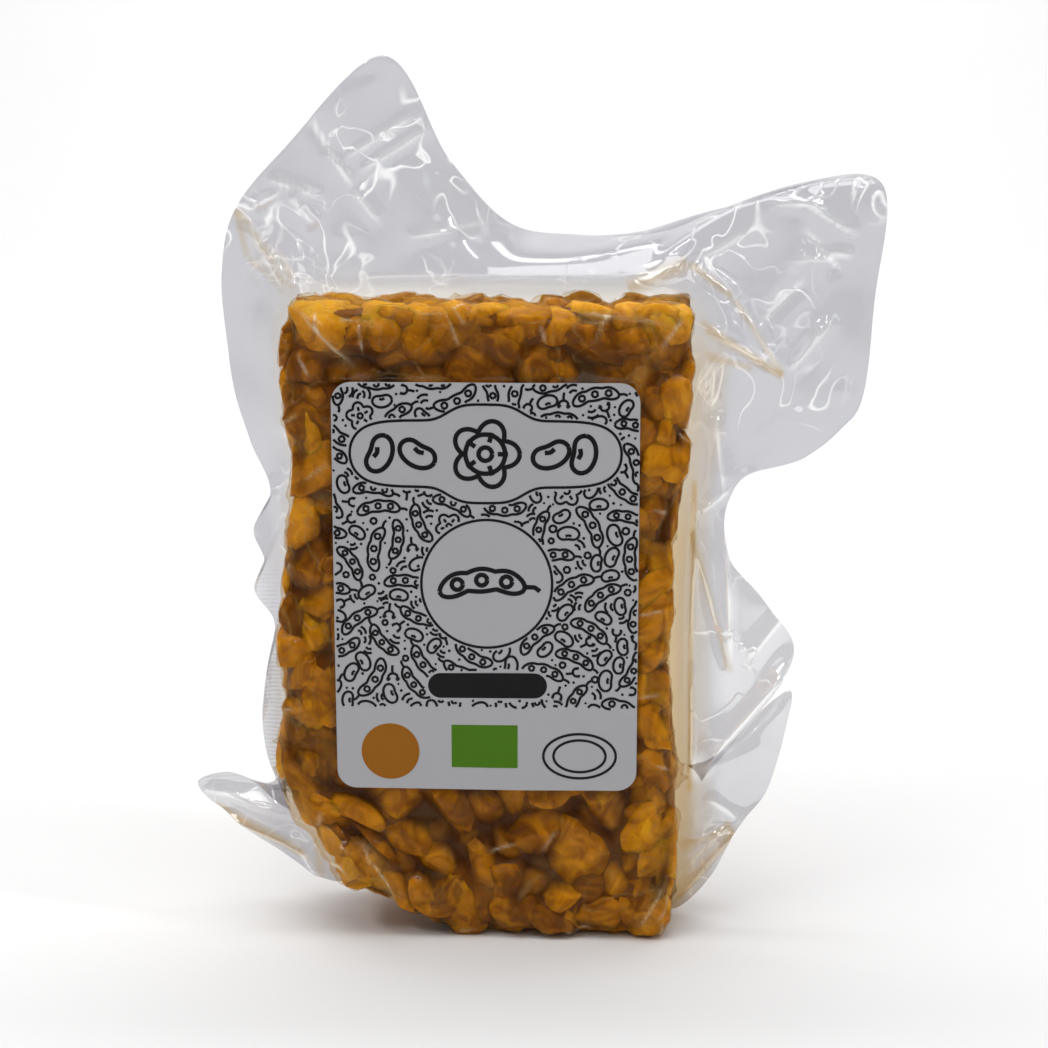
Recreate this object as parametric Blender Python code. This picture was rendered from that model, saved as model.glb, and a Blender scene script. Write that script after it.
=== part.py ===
"""A block of tempeh sealed in a clear vacuum pouch, with a paper label on its front.

The block stands upright on its short underside and faces -Y. The pouch is a flat bag: shrunk onto
the block by the vacuum, it leaves the block at mid-thickness as a doubled film, the fin, which
stands out all round in lobes, with a folded ear at each corner. Lengths below are in millimetres,
x to the right, y to the rear, z up, and the origin is on the ground below the block.
"""

import math

import bmesh
import bpy
import numpy as np

MM = 0.001

# Block of pressed beans
BLOCK_WIDTH = 92.0
BLOCK_DEPTH = 34.0
BLOCK_HEIGHT = 147.0
EDGE_RADIUS = 6.0
GRID = (24, 8, 36)  # cells across, through and up the block

# How far each side of the block stands in (+) or out (-), by height
LEFT_INSET = (
    (0, 12.0), (11, 11.0), (19, 7.5), (27, 3.0), (34, -1.5), (52, -2.0),
    (80, -1.0), (97, 0.5), (108, 2.5), (120, 0.5), (147, 0.5),
)
RIGHT_INSET = (
    (0, 4.5), (10, 3.0), (30, 2.0), (55, 3.8), (90, 3.8), (112, 1.0), (130, 0.0), (147, 0.5),
)
# How far the underside stands clear of the ground, by x before the sides are pushed in
UNDERSIDE_RISE = (
    (-46, 9.5), (-36, 9.0), (-29, 6.0), (-22, 2.6), (-16, 0.5), (-12, 0.0), (46, 0.0),
)
FLAT_FROM = -8.0  # right of this the underside is level, with no bumps
RISE_FADE = 40.0  # height by which the rise has faded out

# Beans, as pressed bumps
BEAN_PITCH = 9.5
BEAN_HEIGHT = 2.6
BEAN_SEED = 7

# Label, on the film
LABEL_WIDTH = 68.0
LABEL_HEIGHT = 93.0
LABEL_BOTTOM = 36.8
LABEL_CORNER = 4.5
LABEL_THICKNESS = 0.25
LABEL_GAP = 0.3
LABEL_MARGIN = 3.0  # the film lies level this far round the label
LABEL_GRID = (8, 10)
CORNER_STEPS = 6

# Fin: where the doubled film stands out. Each station gives the run along the block's outline,
# clockwise from its lower left corner, then the fin's outer edge (x, y, z), and how far the film
# bridges off the block before its two layers meet.
FIN_STATIONS = (
    (0, -42.0, 0.0, 9.0, 1.5),
    (7, -56.0, -2.5, 18.5, 10.0),
    (14, -70.0, -4.0, 32.0, 23.0),    # tip of the lower left ear
    (20, -60.0, -2.0, 32.5, 8.0),
    (26, -51.5, 0.0, 27.0, 2.0),      # notch above it
    (39, -54.0, 1.0, 40.0, 1.6),
    (57, -52.8, -1.0, 57.0, 1.6),
    (71, -50.8, 1.0, 71.5, 1.6),      # short ruffles
    (79, -55.0, 0.0, 79.0, 1.6),
    (86, -52.2, -1.5, 86.0, 1.6),
    (93, -54.8, 0.0, 93.0, 1.6),
    (101, -50.8, 1.0, 101.0, 1.6),
    (113, -55.0, 0.0, 114.0, 1.6),
    (126, -59.0, -3.0, 134.0, 2.0),
    (133, -59.5, -5.0, 153.0, 4.0),
    (139, -56.0, -6.0, 167.0, 22.0),  # upper left ear
    (145, -44.0, -5.5, 181.0, 6.0),
    (154, -24.0, -4.0, 200.0, 6.0),   # left corner of the mouth
    (166, -9.0, 4.0, 177.5, 6.0),
    (177, 3.0, 17.0, 163.5, 6.5),
    (190, 19.0, 31.0, 159.5, 7.0),    # middle of the mouth, leaning back
    (203, 41.0, 34.0, 160.5, 7.0),
    (213, 58.0, 23.0, 167.0, 7.0),
    (221, 88.0, 1.0, 171.5, 9.0),     # right corner of the mouth
    (226, 87.0, 3.0, 146.0, 14.0),
    (230, 84.0, 4.0, 120.5, 25.0),    # upper right ear
    (240, 74.0, 4.0, 110.5, 5.0),
    (250, 57.0, 2.0, 105.5, 8.0),
    (270, 55.0, 0.0, 88.0, 6.0),
    (287, 63.5, -3.0, 77.5, 4.5),
    (299, 70.2, -5.0, 67.3, 4.5),     # side lobe
    (309, 66.5, -1.0, 58.0, 4.5),
    (318, 69.0, 4.0, 48.0, 4.5),      # lobe below it
    (336, 65.5, 2.0, 31.5, 4.0),
    (349, 60.0, -1.0, 23.5, 6.0),
    (358, 57.5, -2.0, 21.0, 20.0),    # lower right ear
    (364, 53.0, 0.0, 11.0, 9.0),
    (372, 46.0, 1.0, 3.5, 1.5),
)
FIN_RUN = FIN_STATIONS[-1][0]
FIN_STEPS = 116
FIN_THICKNESS = 0.8
FIN_ROOT = 3.0        # how deep inside the block's outline the fin starts
FIN_BEND = 0.45       # share of its reach at which the fin bends towards its edge
BRIDGE_HALF = 13.0    # half depth of the bridging film at the root
BRIDGE_SHARES = (0.0, 0.45, 1.0)
FLAT_SHARES = (0.3, 0.65, 1.0)
OUTLINE_FOOT = (12.0, 1.0)  # heights at which the block's outline starts and ends
OUTLINE_POINTS = 2000


def smoothstep(low, high, value):
    t = np.clip((value - low) / (high - low), 0, 1)
    return t * t * (3 - 2 * t)


def unit_vectors(vectors):
    return vectors / np.linalg.norm(vectors, axis=-1, keepdims=True)


def curve_through(points, at):
    """Rows of (position, values...) read at other positions, on cubics with Catmull-Rom slopes."""
    table = np.asarray(points, float)
    knots, values = table[:, 0], table[:, 1:]
    slopes = np.gradient(values, knots, axis=0)
    at = np.clip(np.asarray(at, float), knots[0], knots[-1])
    i = np.clip(np.searchsorted(knots, at, side="right") - 1, 0, len(knots) - 2)
    span = (knots[i + 1] - knots[i])[..., None]
    t = (at - knots[i])[..., None] / span
    return (
        values[i] * (1 + 2 * t) * (1 - t) ** 2
        + slopes[i] * span * t * (1 - t) ** 2
        + values[i + 1] * t * t * (3 - 2 * t)
        + slopes[i + 1] * span * t * t * (t - 1)
    )


def swell(x, z):
    """How far the film under the label stands proud of the block's front, in slow waves."""
    return 0.35 + 0.35 * np.sin(x / 13.0 + 0.8) * np.sin(z / 17.0)


def under_label(x, z):
    """1 under the label and its margin, falling to 0 over 5 mm beyond."""
    half_width = LABEL_WIDTH / 2 + LABEL_MARGIN
    half_height = LABEL_HEIGHT / 2 + LABEL_MARGIN
    middle = LABEL_BOTTOM + LABEL_HEIGHT / 2
    return 1 - smoothstep(0, 5, np.maximum(np.abs(x) - half_width, np.abs(z - middle) - half_height))


def rounded(box):
    """A box's surface points moved onto the same box with rounded edges, and the normals there."""
    half = np.array([BLOCK_WIDTH, BLOCK_DEPTH, BLOCK_HEIGHT]) / 2
    middle = np.array([0, 0, BLOCK_HEIGHT / 2])
    inner = np.clip(box - middle, EDGE_RADIUS - half, half - EDGE_RADIUS)
    normals = unit_vectors(box - middle - inner)
    return middle + inner + EDGE_RADIUS * normals, normals


def warped(points):
    """The rounded box pushed to the block's real outline."""
    x, y, z = points.T
    across = x / BLOCK_WIDTH + 0.5
    left = curve_through(LEFT_INSET, z)[:, 0]
    right = curve_through(RIGHT_INSET, z)[:, 0]
    rise = np.maximum(curve_through(UNDERSIDE_RISE, x)[:, 0], 0)
    return np.stack([
        x + left * (1 - across) ** 2 - right * across ** 2,
        y,
        z + rise * (1 - np.clip(z / RISE_FADE, 0, 1)) ** 2,
    ], axis=1)


def bean_relief(points):
    """Depth below the beans' tops: domes round scattered seeds, with creases between them."""
    rng = np.random.default_rng(BEAN_SEED)
    sizes = (BLOCK_WIDTH, BLOCK_DEPTH, BLOCK_HEIGHT)
    cells = [np.arange(-1, math.ceil(size / BEAN_PITCH) + 1) for size in sizes]
    lattice = np.stack(np.meshgrid(*cells, indexing="ij"), axis=-1).reshape(-1, 3)
    corner = np.array([-BLOCK_WIDTH / 2, -BLOCK_DEPTH / 2, 0])
    seeds = corner + (lattice + rng.uniform(0.1, 0.9, lattice.shape)) * BEAN_PITCH
    nearest = np.linalg.norm(points[:, None] - seeds[None], axis=2).min(axis=1)
    return BEAN_HEIGHT * np.clip(nearest / (0.75 * BEAN_PITCH), 0, 1) ** 2


def block_points(unit):
    """Points of a unit cube's subdivided surface moved onto the pressed block."""
    box = unit * [BLOCK_WIDTH, BLOCK_DEPTH, BLOCK_HEIGHT] + [0, 0, BLOCK_HEIGHT / 2]
    points, normals = rounded(box)
    points = warped(points)
    label = smoothstep(0.7, 0.95, -normals[:, 1]) * under_label(points[:, 0], points[:, 2])
    downward = smoothstep(0.7, 0.98, -normals[:, 2])
    ground = downward * smoothstep(FLAT_FROM - 7, FLAT_FROM, points[:, 0])
    points -= normals * (bean_relief(points) * (1 - label) * (1 - ground))[:, None]
    points[:, 1] -= label * swell(points[:, 0], points[:, 2])
    return points


def block_outline(runs):
    """The block's mid-thickness outline, and its outward direction, at runs along it."""
    half = BLOCK_WIDTH / 2
    left_foot, right_foot = OUTLINE_FOOT
    corners = np.array([
        (-half, left_foot), (-half, BLOCK_HEIGHT), (half, BLOCK_HEIGHT), (half, right_foot),
    ])
    at = np.linspace(0, len(corners) - 1, OUTLINE_POINTS)
    x, z = (np.interp(at, range(len(corners)), column) for column in corners.T)
    line = warped(rounded(np.stack([x, np.zeros_like(x), z], axis=1))[0])
    along = np.gradient(line, axis=0)
    out = unit_vectors(np.stack([-along[:, 2], np.zeros_like(x), along[:, 0]], axis=1))
    steps = np.linalg.norm(np.diff(line, axis=0), axis=1)
    lengths = np.concatenate([[0], np.cumsum(steps)])
    share = runs / FIN_RUN * lengths[-1]
    return [
        np.stack([np.interp(share, lengths, column) for column in rows.T], axis=1)
        for rows in (line, out)
    ]


def fin_sections():
    """Closed sections across the fin, one for each step along the block's outline.

    The film's middle surface leaves the block square to its side and bends to the outer edge on
    a parabola. Each section goes out along its front and back along its rear.
    """
    runs = np.linspace(0, FIN_RUN, FIN_STEPS)
    stations = curve_through(FIN_STATIONS, runs)
    edge, bridge = stations[:, :3], np.maximum(stations[:, 3], 1.2)
    outline, out = block_outline(runs)
    root = outline - out * FIN_ROOT
    reach = np.linalg.norm(edge - root, axis=1)
    bend = root + out * (FIN_BEND * reach)[:, None]
    flat_from = np.clip((bridge + FIN_ROOT) / reach, 0.15, 0.93)
    shares = [flat_from * share for share in BRIDGE_SHARES]
    shares += [flat_from + (1 - flat_from) * share for share in FLAT_SHARES]
    s = np.stack(shares, axis=1)[..., None]
    middle = (1 - s) ** 2 * root[:, None] + 2 * s * (1 - s) * bend[:, None] + s ** 2 * edge[:, None]
    normal = unit_vectors(np.cross(np.gradient(middle, axis=1), np.gradient(middle, axis=0)))
    bridging = np.clip(1 - s[..., 0] / flat_from[:, None], 0, 1)
    half = (FIN_THICKNESS / 2 + BRIDGE_HALF * bridging)[..., None]
    return np.concatenate([middle + normal * half, (middle - normal * half)[:, ::-1]], axis=1)


def material(name, colour, roughness):
    made = bpy.data.materials.new(name)
    made.use_nodes = True
    shader = made.node_tree.nodes["Principled BSDF"]
    shader.inputs["Base Color"].default_value = (*colour, 1)
    shader.inputs["Roughness"].default_value = roughness
    shader.inputs["Metallic"].default_value = 0
    return made


def collection(name):
    made = bpy.data.collections.new(name)
    bpy.context.scene.collection.children.link(made)
    return made


def finished(work, name):
    """The bmesh, worked in millimetres until here, as a mesh in metres."""
    bmesh.ops.scale(work, vec=(MM, MM, MM), verts=work.verts)
    bmesh.ops.recalc_face_normals(work, faces=work.faces)
    mesh = bpy.data.meshes.new(name)
    work.to_mesh(mesh)
    work.free()
    mesh.shade_smooth()
    mesh.set_sharp_from_angle(angle=math.radians(50))
    return mesh


def block_mesh():
    """The pressed block, from a cube cut into a grid."""
    work = bmesh.new()
    bmesh.ops.create_cube(work, size=1)
    for axis, cells in enumerate(GRID):
        along = [e for e in work.edges if abs(e.verts[0].co[axis] - e.verts[1].co[axis]) > 0.01]
        bmesh.ops.subdivide_edges(work, edges=along, cuts=cells - 1, use_grid_fill=True)
    unit = np.array([vert.co for vert in work.verts])
    for vert, point in zip(work.verts, block_points(unit)):
        vert.co = point
    return finished(work, "pouch")


def fin_mesh():
    """The doubled film round the block: a loft through its sections, closed at both ends."""
    work = bmesh.new()
    rings = [[work.verts.new(point) for point in section] for section in fin_sections()]
    for near, far in zip(rings, rings[1:]):
        for j in range(len(near)):
            k = (j + 1) % len(near)
            work.faces.new((near[j], near[k], far[k], far[j]))
    work.faces.new(rings[0])
    work.faces.new(rings[-1])
    bmesh.ops.triangulate(work, faces=work.faces)
    return finished(work, "fin")


def label_mesh():
    """The label: a rounded outline, cut into a grid, laid on the film's slow waves, made thick."""
    work = bmesh.new()
    across = LABEL_WIDTH / 2 - LABEL_CORNER
    up = LABEL_HEIGHT / 2 - LABEL_CORNER
    outline = []
    for turn, (x, z) in enumerate(((across, up), (-across, up), (-across, -up), (across, -up))):
        for step in range(CORNER_STEPS + 1):
            angle = math.pi / 2 * (turn + step / CORNER_STEPS)
            corner = (x + LABEL_CORNER * math.cos(angle), 0, z + LABEL_CORNER * math.sin(angle))
            outline.append(work.verts.new(corner))
    work.faces.new(outline)
    for direction, size, cells in (
        ((1, 0, 0), LABEL_WIDTH, LABEL_GRID[0]),
        ((0, 0, 1), LABEL_HEIGHT, LABEL_GRID[1]),
    ):
        for cut in range(1, cells):
            place = [size * (cut / cells - 0.5) * part for part in direction]
            everything = work.verts[:] + work.edges[:] + work.faces[:]
            bmesh.ops.bisect_plane(work, geom=everything, plane_co=place, plane_no=direction)
    for vert in work.verts:
        vert.co.z += LABEL_BOTTOM + LABEL_HEIGHT / 2
        vert.co.y = -BLOCK_DEPTH / 2 - swell(vert.co.x, vert.co.z) - LABEL_GAP
    raised = bmesh.ops.extrude_face_region(work, geom=work.faces[:])["geom"]
    front = [item for item in raised if isinstance(item, bmesh.types.BMVert)]
    bmesh.ops.translate(work, vec=(0, -LABEL_THICKNESS, 0), verts=front)
    return finished(work, "label")


def add_piece(mesh, home, finish=None):
    if finish:
        mesh.materials.append(finish)
    made = bpy.data.objects.new(mesh.name, mesh)
    home.objects.link(made)
    return made


def main():
    for old in list(bpy.data.objects):
        bpy.data.objects.remove(old)
    parts = collection("vacuum_packed_tempeh")
    cutters = collection("cutters")
    film = material("vacuum_film_over_beans", (0.50, 0.22, 0.035), 0.25)
    paper = material("label_paper", (0.80, 0.80, 0.80), 0.45)

    fin = add_piece(fin_mesh(), cutters)
    fin.hide_render = True
    fin.display_type = "WIRE"

    pouch = add_piece(block_mesh(), parts, film)
    join = pouch.modifiers.new("join_fin", "BOOLEAN")
    join.operation = "UNION"
    join.solver = "EXACT"
    join.object = fin

    add_piece(label_mesh(), parts, paper)


main()
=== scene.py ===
import math

import bpy
import numpy as np
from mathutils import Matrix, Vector


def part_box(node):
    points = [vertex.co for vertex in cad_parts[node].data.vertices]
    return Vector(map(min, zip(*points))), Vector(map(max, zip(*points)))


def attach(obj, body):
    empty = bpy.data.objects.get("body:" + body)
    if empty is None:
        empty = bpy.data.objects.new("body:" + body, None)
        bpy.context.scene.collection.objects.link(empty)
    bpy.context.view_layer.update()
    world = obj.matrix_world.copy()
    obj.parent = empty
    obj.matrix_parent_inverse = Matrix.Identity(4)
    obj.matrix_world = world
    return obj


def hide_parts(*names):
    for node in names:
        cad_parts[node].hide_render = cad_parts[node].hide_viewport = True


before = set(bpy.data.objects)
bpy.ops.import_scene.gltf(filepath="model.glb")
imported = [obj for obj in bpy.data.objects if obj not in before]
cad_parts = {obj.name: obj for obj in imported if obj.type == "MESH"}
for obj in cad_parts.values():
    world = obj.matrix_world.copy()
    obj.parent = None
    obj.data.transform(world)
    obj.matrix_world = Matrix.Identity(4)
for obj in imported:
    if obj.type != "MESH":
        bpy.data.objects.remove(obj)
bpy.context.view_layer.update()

# Lengths are in millimetres until a mesh is made: x to the right, y to the rear, z up
mm = 0.001
labelLow, labelHigh = (np.array(corner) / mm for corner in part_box("label"))

# The block of pressed beans, as the frame has it
block = {
    "width": 92.0,
    "depth": 34.0,
    "height": 147.0,
    "edgeRadius": 6.0,
    "filmRadius": 4.5,       # of the edges that the film and the core are laid on
    "leftInset": (
        (0, 12.0), (11, 11.0), (19, 7.5), (27, 3.0), (34, -1.5), (52, -2.0), (80, -1.0), (97, 0.5),
        (108, 2.5), (120, 0.5), (147, 0.5),
    ),
    "rightInset": (
        (0, 4.5), (10, 3.0), (30, 2.0), (55, 3.8), (90, 3.8), (112, 1.0), (130, 0.0), (147, 0.5),
    ),
    "undersideRise": (
        (-46, 9.5), (-36, 9.0), (-29, 6.0), (-22, 2.6), (-16, 0.5), (-12, 0.0), (46, 0.0),
    ),
    "riseFade": 40.0,
    "topLit": (0.6, 7.0),   # share of the painted shade and juice taken off at the top, where the light falls, and how fast that fades downwards
}
blockHalf = np.array([block["width"], block["depth"], block["height"]]) / 2
blockMiddle = np.array([0, 0, block["height"] / 2])


# 0 up to the low value, 1 from the high one, and 3 t^2 - 2 t^3 between them. Given the higher one first
# it falls instead
def smoothstep(low, high, value):
    t = np.clip((value - low) / (high - low), 0, 1)
    return t * t * (3 - 2 * t)


# Each vector divided by its length
def unitVectors(vectors):
    return vectors / np.linalg.norm(vectors, axis=-1, keepdims=True)


# Rows of a position and its values, read at other positions: a cubic between each two rows, whose slope
# at a row is that of the chord between its neighbours
def curveThrough(rows, at):
    table = np.asarray(rows, float)
    knots, values = table[:, 0], table[:, 1:]
    slopes = np.gradient(values, knots, axis=0)
    at = np.clip(np.asarray(at, float), knots[0], knots[-1])
    i = np.clip(np.searchsorted(knots, at, side="right") - 1, 0, len(knots) - 2)
    span = (knots[i + 1] - knots[i])[..., None]
    t = (at - knots[i])[..., None] / span
    return (
        values[i] * (1 + 2 * t) * (1 - t) ** 2
        + slopes[i] * span * t * (1 - t) ** 2
        + values[i + 1] * t * t * (3 - 2 * t)
        + slopes[i + 1] * span * t * t * (t - 1)
    )


# The straight box pushed to the block's real outline: each side moves in by its inset, fading as the
# square of the distance across, and the underside lifts by its rise, fading upwards
def warpBlock(points):
    x, y, z = np.moveaxis(points, -1, 0)
    across = x / block["width"] + 0.5
    left = curveThrough(block["leftInset"], z)[..., 0]
    right = curveThrough(block["rightInset"], z)[..., 0]
    rise = np.maximum(curveThrough(block["undersideRise"], x)[..., 0], 0)
    return np.stack([
        x + left * (1 - across) ** 2 - right * across ** 2,
        y,
        z + rise * (1 - np.clip(z / block["riseFade"], 0, 1)) ** 2,
    ], axis=-1)


# A mesh from whole arrays, in metres. The volume is the sum of the tetrahedra from the origin to each
# face: where it is negative the surface is inside out, and its faces are turned
def makePiece(name, points, faces, material, slot, attributes=None, sharp=False):
    points = np.asarray(points, float).reshape(-1, 3) * mm
    a, b, c = (points[faces[:, k]] for k in range(3))
    volume = np.einsum("ij,ij->", a, np.cross(b, c))
    corners = faces.shape[1]
    if corners == 4:
        volume += np.einsum("ij,ij->", a, np.cross(c, points[faces[:, 3]]))
    if volume < 0:
        faces = faces[:, ::-1]
    mesh = bpy.data.meshes.new(name)
    mesh.vertices.add(len(points))
    mesh.vertices.foreach_set("co", points.astype(np.float32).ravel())
    mesh.loops.add(faces.size)
    mesh.loops.foreach_set("vertex_index", faces.astype(np.int32).ravel())
    mesh.polygons.add(len(faces))
    mesh.polygons.foreach_set("loop_start", np.arange(0, faces.size, corners, dtype=np.int32))
    mesh.polygons.foreach_set("loop_total", np.full(len(faces), corners, np.int32))
    mesh.update(calc_edges=True)
    mesh.validate()
    mesh.shade_smooth()
    if sharp:
        mesh.set_sharp_from_angle(angle=math.radians(35))
    for key, values in (attributes or {}).items():
        layer = mesh.attributes.new(key, "FLOAT", "POINT")
        layer.data.foreach_set("value", np.asarray(values, np.float32).ravel())
    mesh.materials.append(material)
    piece = bpy.data.objects.new(name, mesh)
    bpy.context.scene.collection.objects.link(piece)
    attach(piece, "root")
    print(name, len(points), "points", len(faces), "faces")
    return piece


# Quads between the neighbouring points of a grid, numbered row by row
def gridFaces(rows, columns, wrapColumns=False):
    last = columns if wrapColumns else columns - 1
    i, j = np.meshgrid(np.arange(rows - 1) * columns, np.arange(last), indexing="ij")
    i, j = i.ravel(), j.ravel()
    along = (j + 1) % columns
    return np.stack([i + j, i + along, i + columns + along, i + columns + j], axis=1)


# Each quad as the two triangles on either side of its first diagonal
def halves(quads):
    return np.vstack([quads[:, [0, 1, 2]], quads[:, [0, 2, 3]]])


# The paper label on the pouch's front, and the film under it
label = {
    "corner": 4.5,
    "columns": 72,
    "rows": 100,
    "thickness": 0.25,
    "gap": 0.3,              # between the paper and the film, so that neither shows through
    "swell": 0.35,           # least that the film under the label stands out, and half of what waves add
    "swellWaves": (13.0, 17.0),    # lengths across and up, as mm for each radian
    "ripple": 0.08,          # of the paper
}
labelMiddle = (labelLow + labelHigh) / 2
labelHalf = (labelHigh - labelLow) / 2


# How far the film under the label stands proud of the block's front: one sine wave across times
# another up, on top of a steady rise
def swell(x, z):
    across, up = label["swellWaves"]
    return label["swell"] * (1 + np.sin(x / across + 0.8) * np.sin(z / up))


# 1 under the label and 0 more than a margin outside it, fading over the margin's last 2 mm. How far
# outside a point lies is the greater of how far it is past the label's sides and past its ends
def underLabel(x, z, margin):
    pastSide = np.abs(x - labelMiddle[0]) - labelHalf[0]
    pastEnd = np.abs(z - labelMiddle[2]) - labelHalf[2]
    return 1 - smoothstep(margin - 2, margin, np.maximum(pastSide, pastEnd))


# How far forward the label's face stands: on the film's swell, with a fine ripple of its own
def labelFace(x, z):
    ripple = label["ripple"] * np.sin(x / 5.1 + 0.4) * np.cos(z / 6.7 + x / 19.0)
    return -(block["depth"] / 2 + swell(x, z) + label["gap"] + label["thickness"]) - ripple


# An sRGB hex colour as the linear red, green, blue and alpha that a shader takes: each channel is
# undone by the sRGB curve
def linearColour(code):
    values = np.array([int(code[i:i + 2], 16) for i in (1, 3, 5)]) / 255
    values = np.where(values <= 0.04045, values / 12.92, ((values + 0.055) / 1.055) ** 2.4)
    return (*values.tolist(), 1.0)


# Adds a node with its settings and fills its inputs, by name or in their order: a socket is linked and
# any other value is set. Gives back the named output, or else the first one in use
def addNode(tree, kind, inputs=(), output=None, **settings):
    node = tree.nodes.new("ShaderNode" + kind)
    for key, value in settings.items():
        setattr(node, key, value)
    for key, value in inputs.items() if isinstance(inputs, dict) else enumerate(inputs):
        if isinstance(value, bpy.types.NodeSocket):
            tree.links.new(value, node.inputs[key])
        else:
            node.inputs[key].default_value = value
    return node.outputs[output] if output else next((s for s in node.outputs if s.enabled), None)


# A material with an empty tree of nodes
def newMaterial(name):
    material = bpy.data.materials.new(name)
    material.use_nodes = True
    material.node_tree.nodes.clear()
    return material, material.node_tree


# Cooked soybeans, boiled soft, split by hulling and pressed wet. Their skins are moist wax: a broad
# dull sheen, light soaking into yellow flesh and cloudy patches 6 mm wide. The hollows are brown, partly
# juice and partly painted shade, and the tone adds painted light at the block's top, sides and right and
# painted shade in a band below the top. A skin's wrinkles, half a millimetre wide, are too fine to show
# and are drawn 4 mm wide
def beanMaterial():
    material, tree = newMaterial("cookedSoybean")
    place = addNode(tree, "TexCoord", output="Object")
    tone, depth = (
        addNode(tree, "Attribute", output="Fac", attribute_name=key) for key in ("tone", "depth")
    )
    cloud = addNode(tree, "TexNoise", {
        "Vector": place, "Scale": 1 / (6.0 * mm), "Detail": 5.0, "Roughness": 0.58, "Distortion": 1.2,
    })
    cloud = addNode(tree, "MapRange", (cloud, 0.34, 0.66, 0.0, 0.95))
    shade = addNode(tree, "Math", (cloud, tone), operation="ADD")
    shade = addNode(tree, "Math", (shade, 0.55), operation="MULTIPLY")
    flesh = addNode(tree, "ValToRGB", (shade,))
    stops = flesh.node.color_ramp.elements
    stops[0].position, stops[0].color = 0.08, linearColour("#7A480C")
    stops[1].position, stops[1].color = 1.0, linearColour("#F6B626")
    for position, code in ((0.32, "#A2650A"), (0.64, "#D08C0C")):
        stops.new(position).color = linearColour(code)
    # Darker with depth below the block's faces: painted shade in the hollows, with the juice's brown
    juiceAndShade = addNode(tree, "MapRange", (depth, 0.4, 3.4, 0.0, 1.0), interpolation_type="SMOOTHSTEP")
    colour = addNode(tree, "Mix", {
        "Factor": juiceAndShade, "A": flesh, "B": linearColour("#562D04"),
    }, data_type="RGBA")
    wrinkles = addNode(tree, "TexNoise", {
        "Vector": place, "Scale": 1 / (4.0 * mm), "Detail": 6.0, "Roughness": 0.6,
    })
    bump = addNode(tree, "Bump", {"Height": wrinkles, "Strength": 0.5, "Distance": 0.0016})
    skin = addNode(tree, "BsdfPrincipled", {
        "Base Color": colour, "Roughness": 0.45, "IOR": 1.4, "Specular IOR Level": 0.12, "Normal": bump,
        "Subsurface Weight": 0.45, "Subsurface Scale": 0.0022, "Subsurface Radius": (1.0, 0.5, 0.12),
    })
    addNode(tree, "OutputMaterial", {"Surface": skin})
    return material


# The ferment's mass: skins, crumbs of 4 mm and dried juice that bind the beans. It is wet and dark, so
# it takes little light in, and it turns browner the deeper it lies, as painted shade
def coreMaterial():
    material, tree = newMaterial("fermentedBeanMass")
    place = addNode(tree, "TexCoord", output="Object")
    depth = addNode(tree, "Attribute", output="Fac", attribute_name="depth")
    crumbs = addNode(tree, "TexNoise", {"Vector": place, "Scale": 1 / (4.0 * mm), "Detail": 4.0})
    # Painted shade: browner the deeper the mass lies between the beans
    deep = addNode(tree, "Math", (crumbs, 1.6, depth), operation="MULTIPLY_ADD")
    dark = addNode(tree, "MapRange", (deep, 1.2, 4.2, 0.0, 1.0))
    colour = addNode(tree, "Mix", {
        "Factor": dark, "A": linearColour("#8C540C"), "B": linearColour("#522A03"),
    }, data_type="RGBA")
    mass = addNode(tree, "BsdfPrincipled", {
        "Base Color": colour, "Roughness": 0.4, "IOR": 1.4, "Specular IOR Level": 0.2,
        "Subsurface Weight": 0.2, "Subsurface Scale": 0.003, "Subsurface Radius": (1.0, 0.4, 0.1),
    })
    addNode(tree, "OutputMaterial", {"Surface": mass})
    return material
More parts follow.
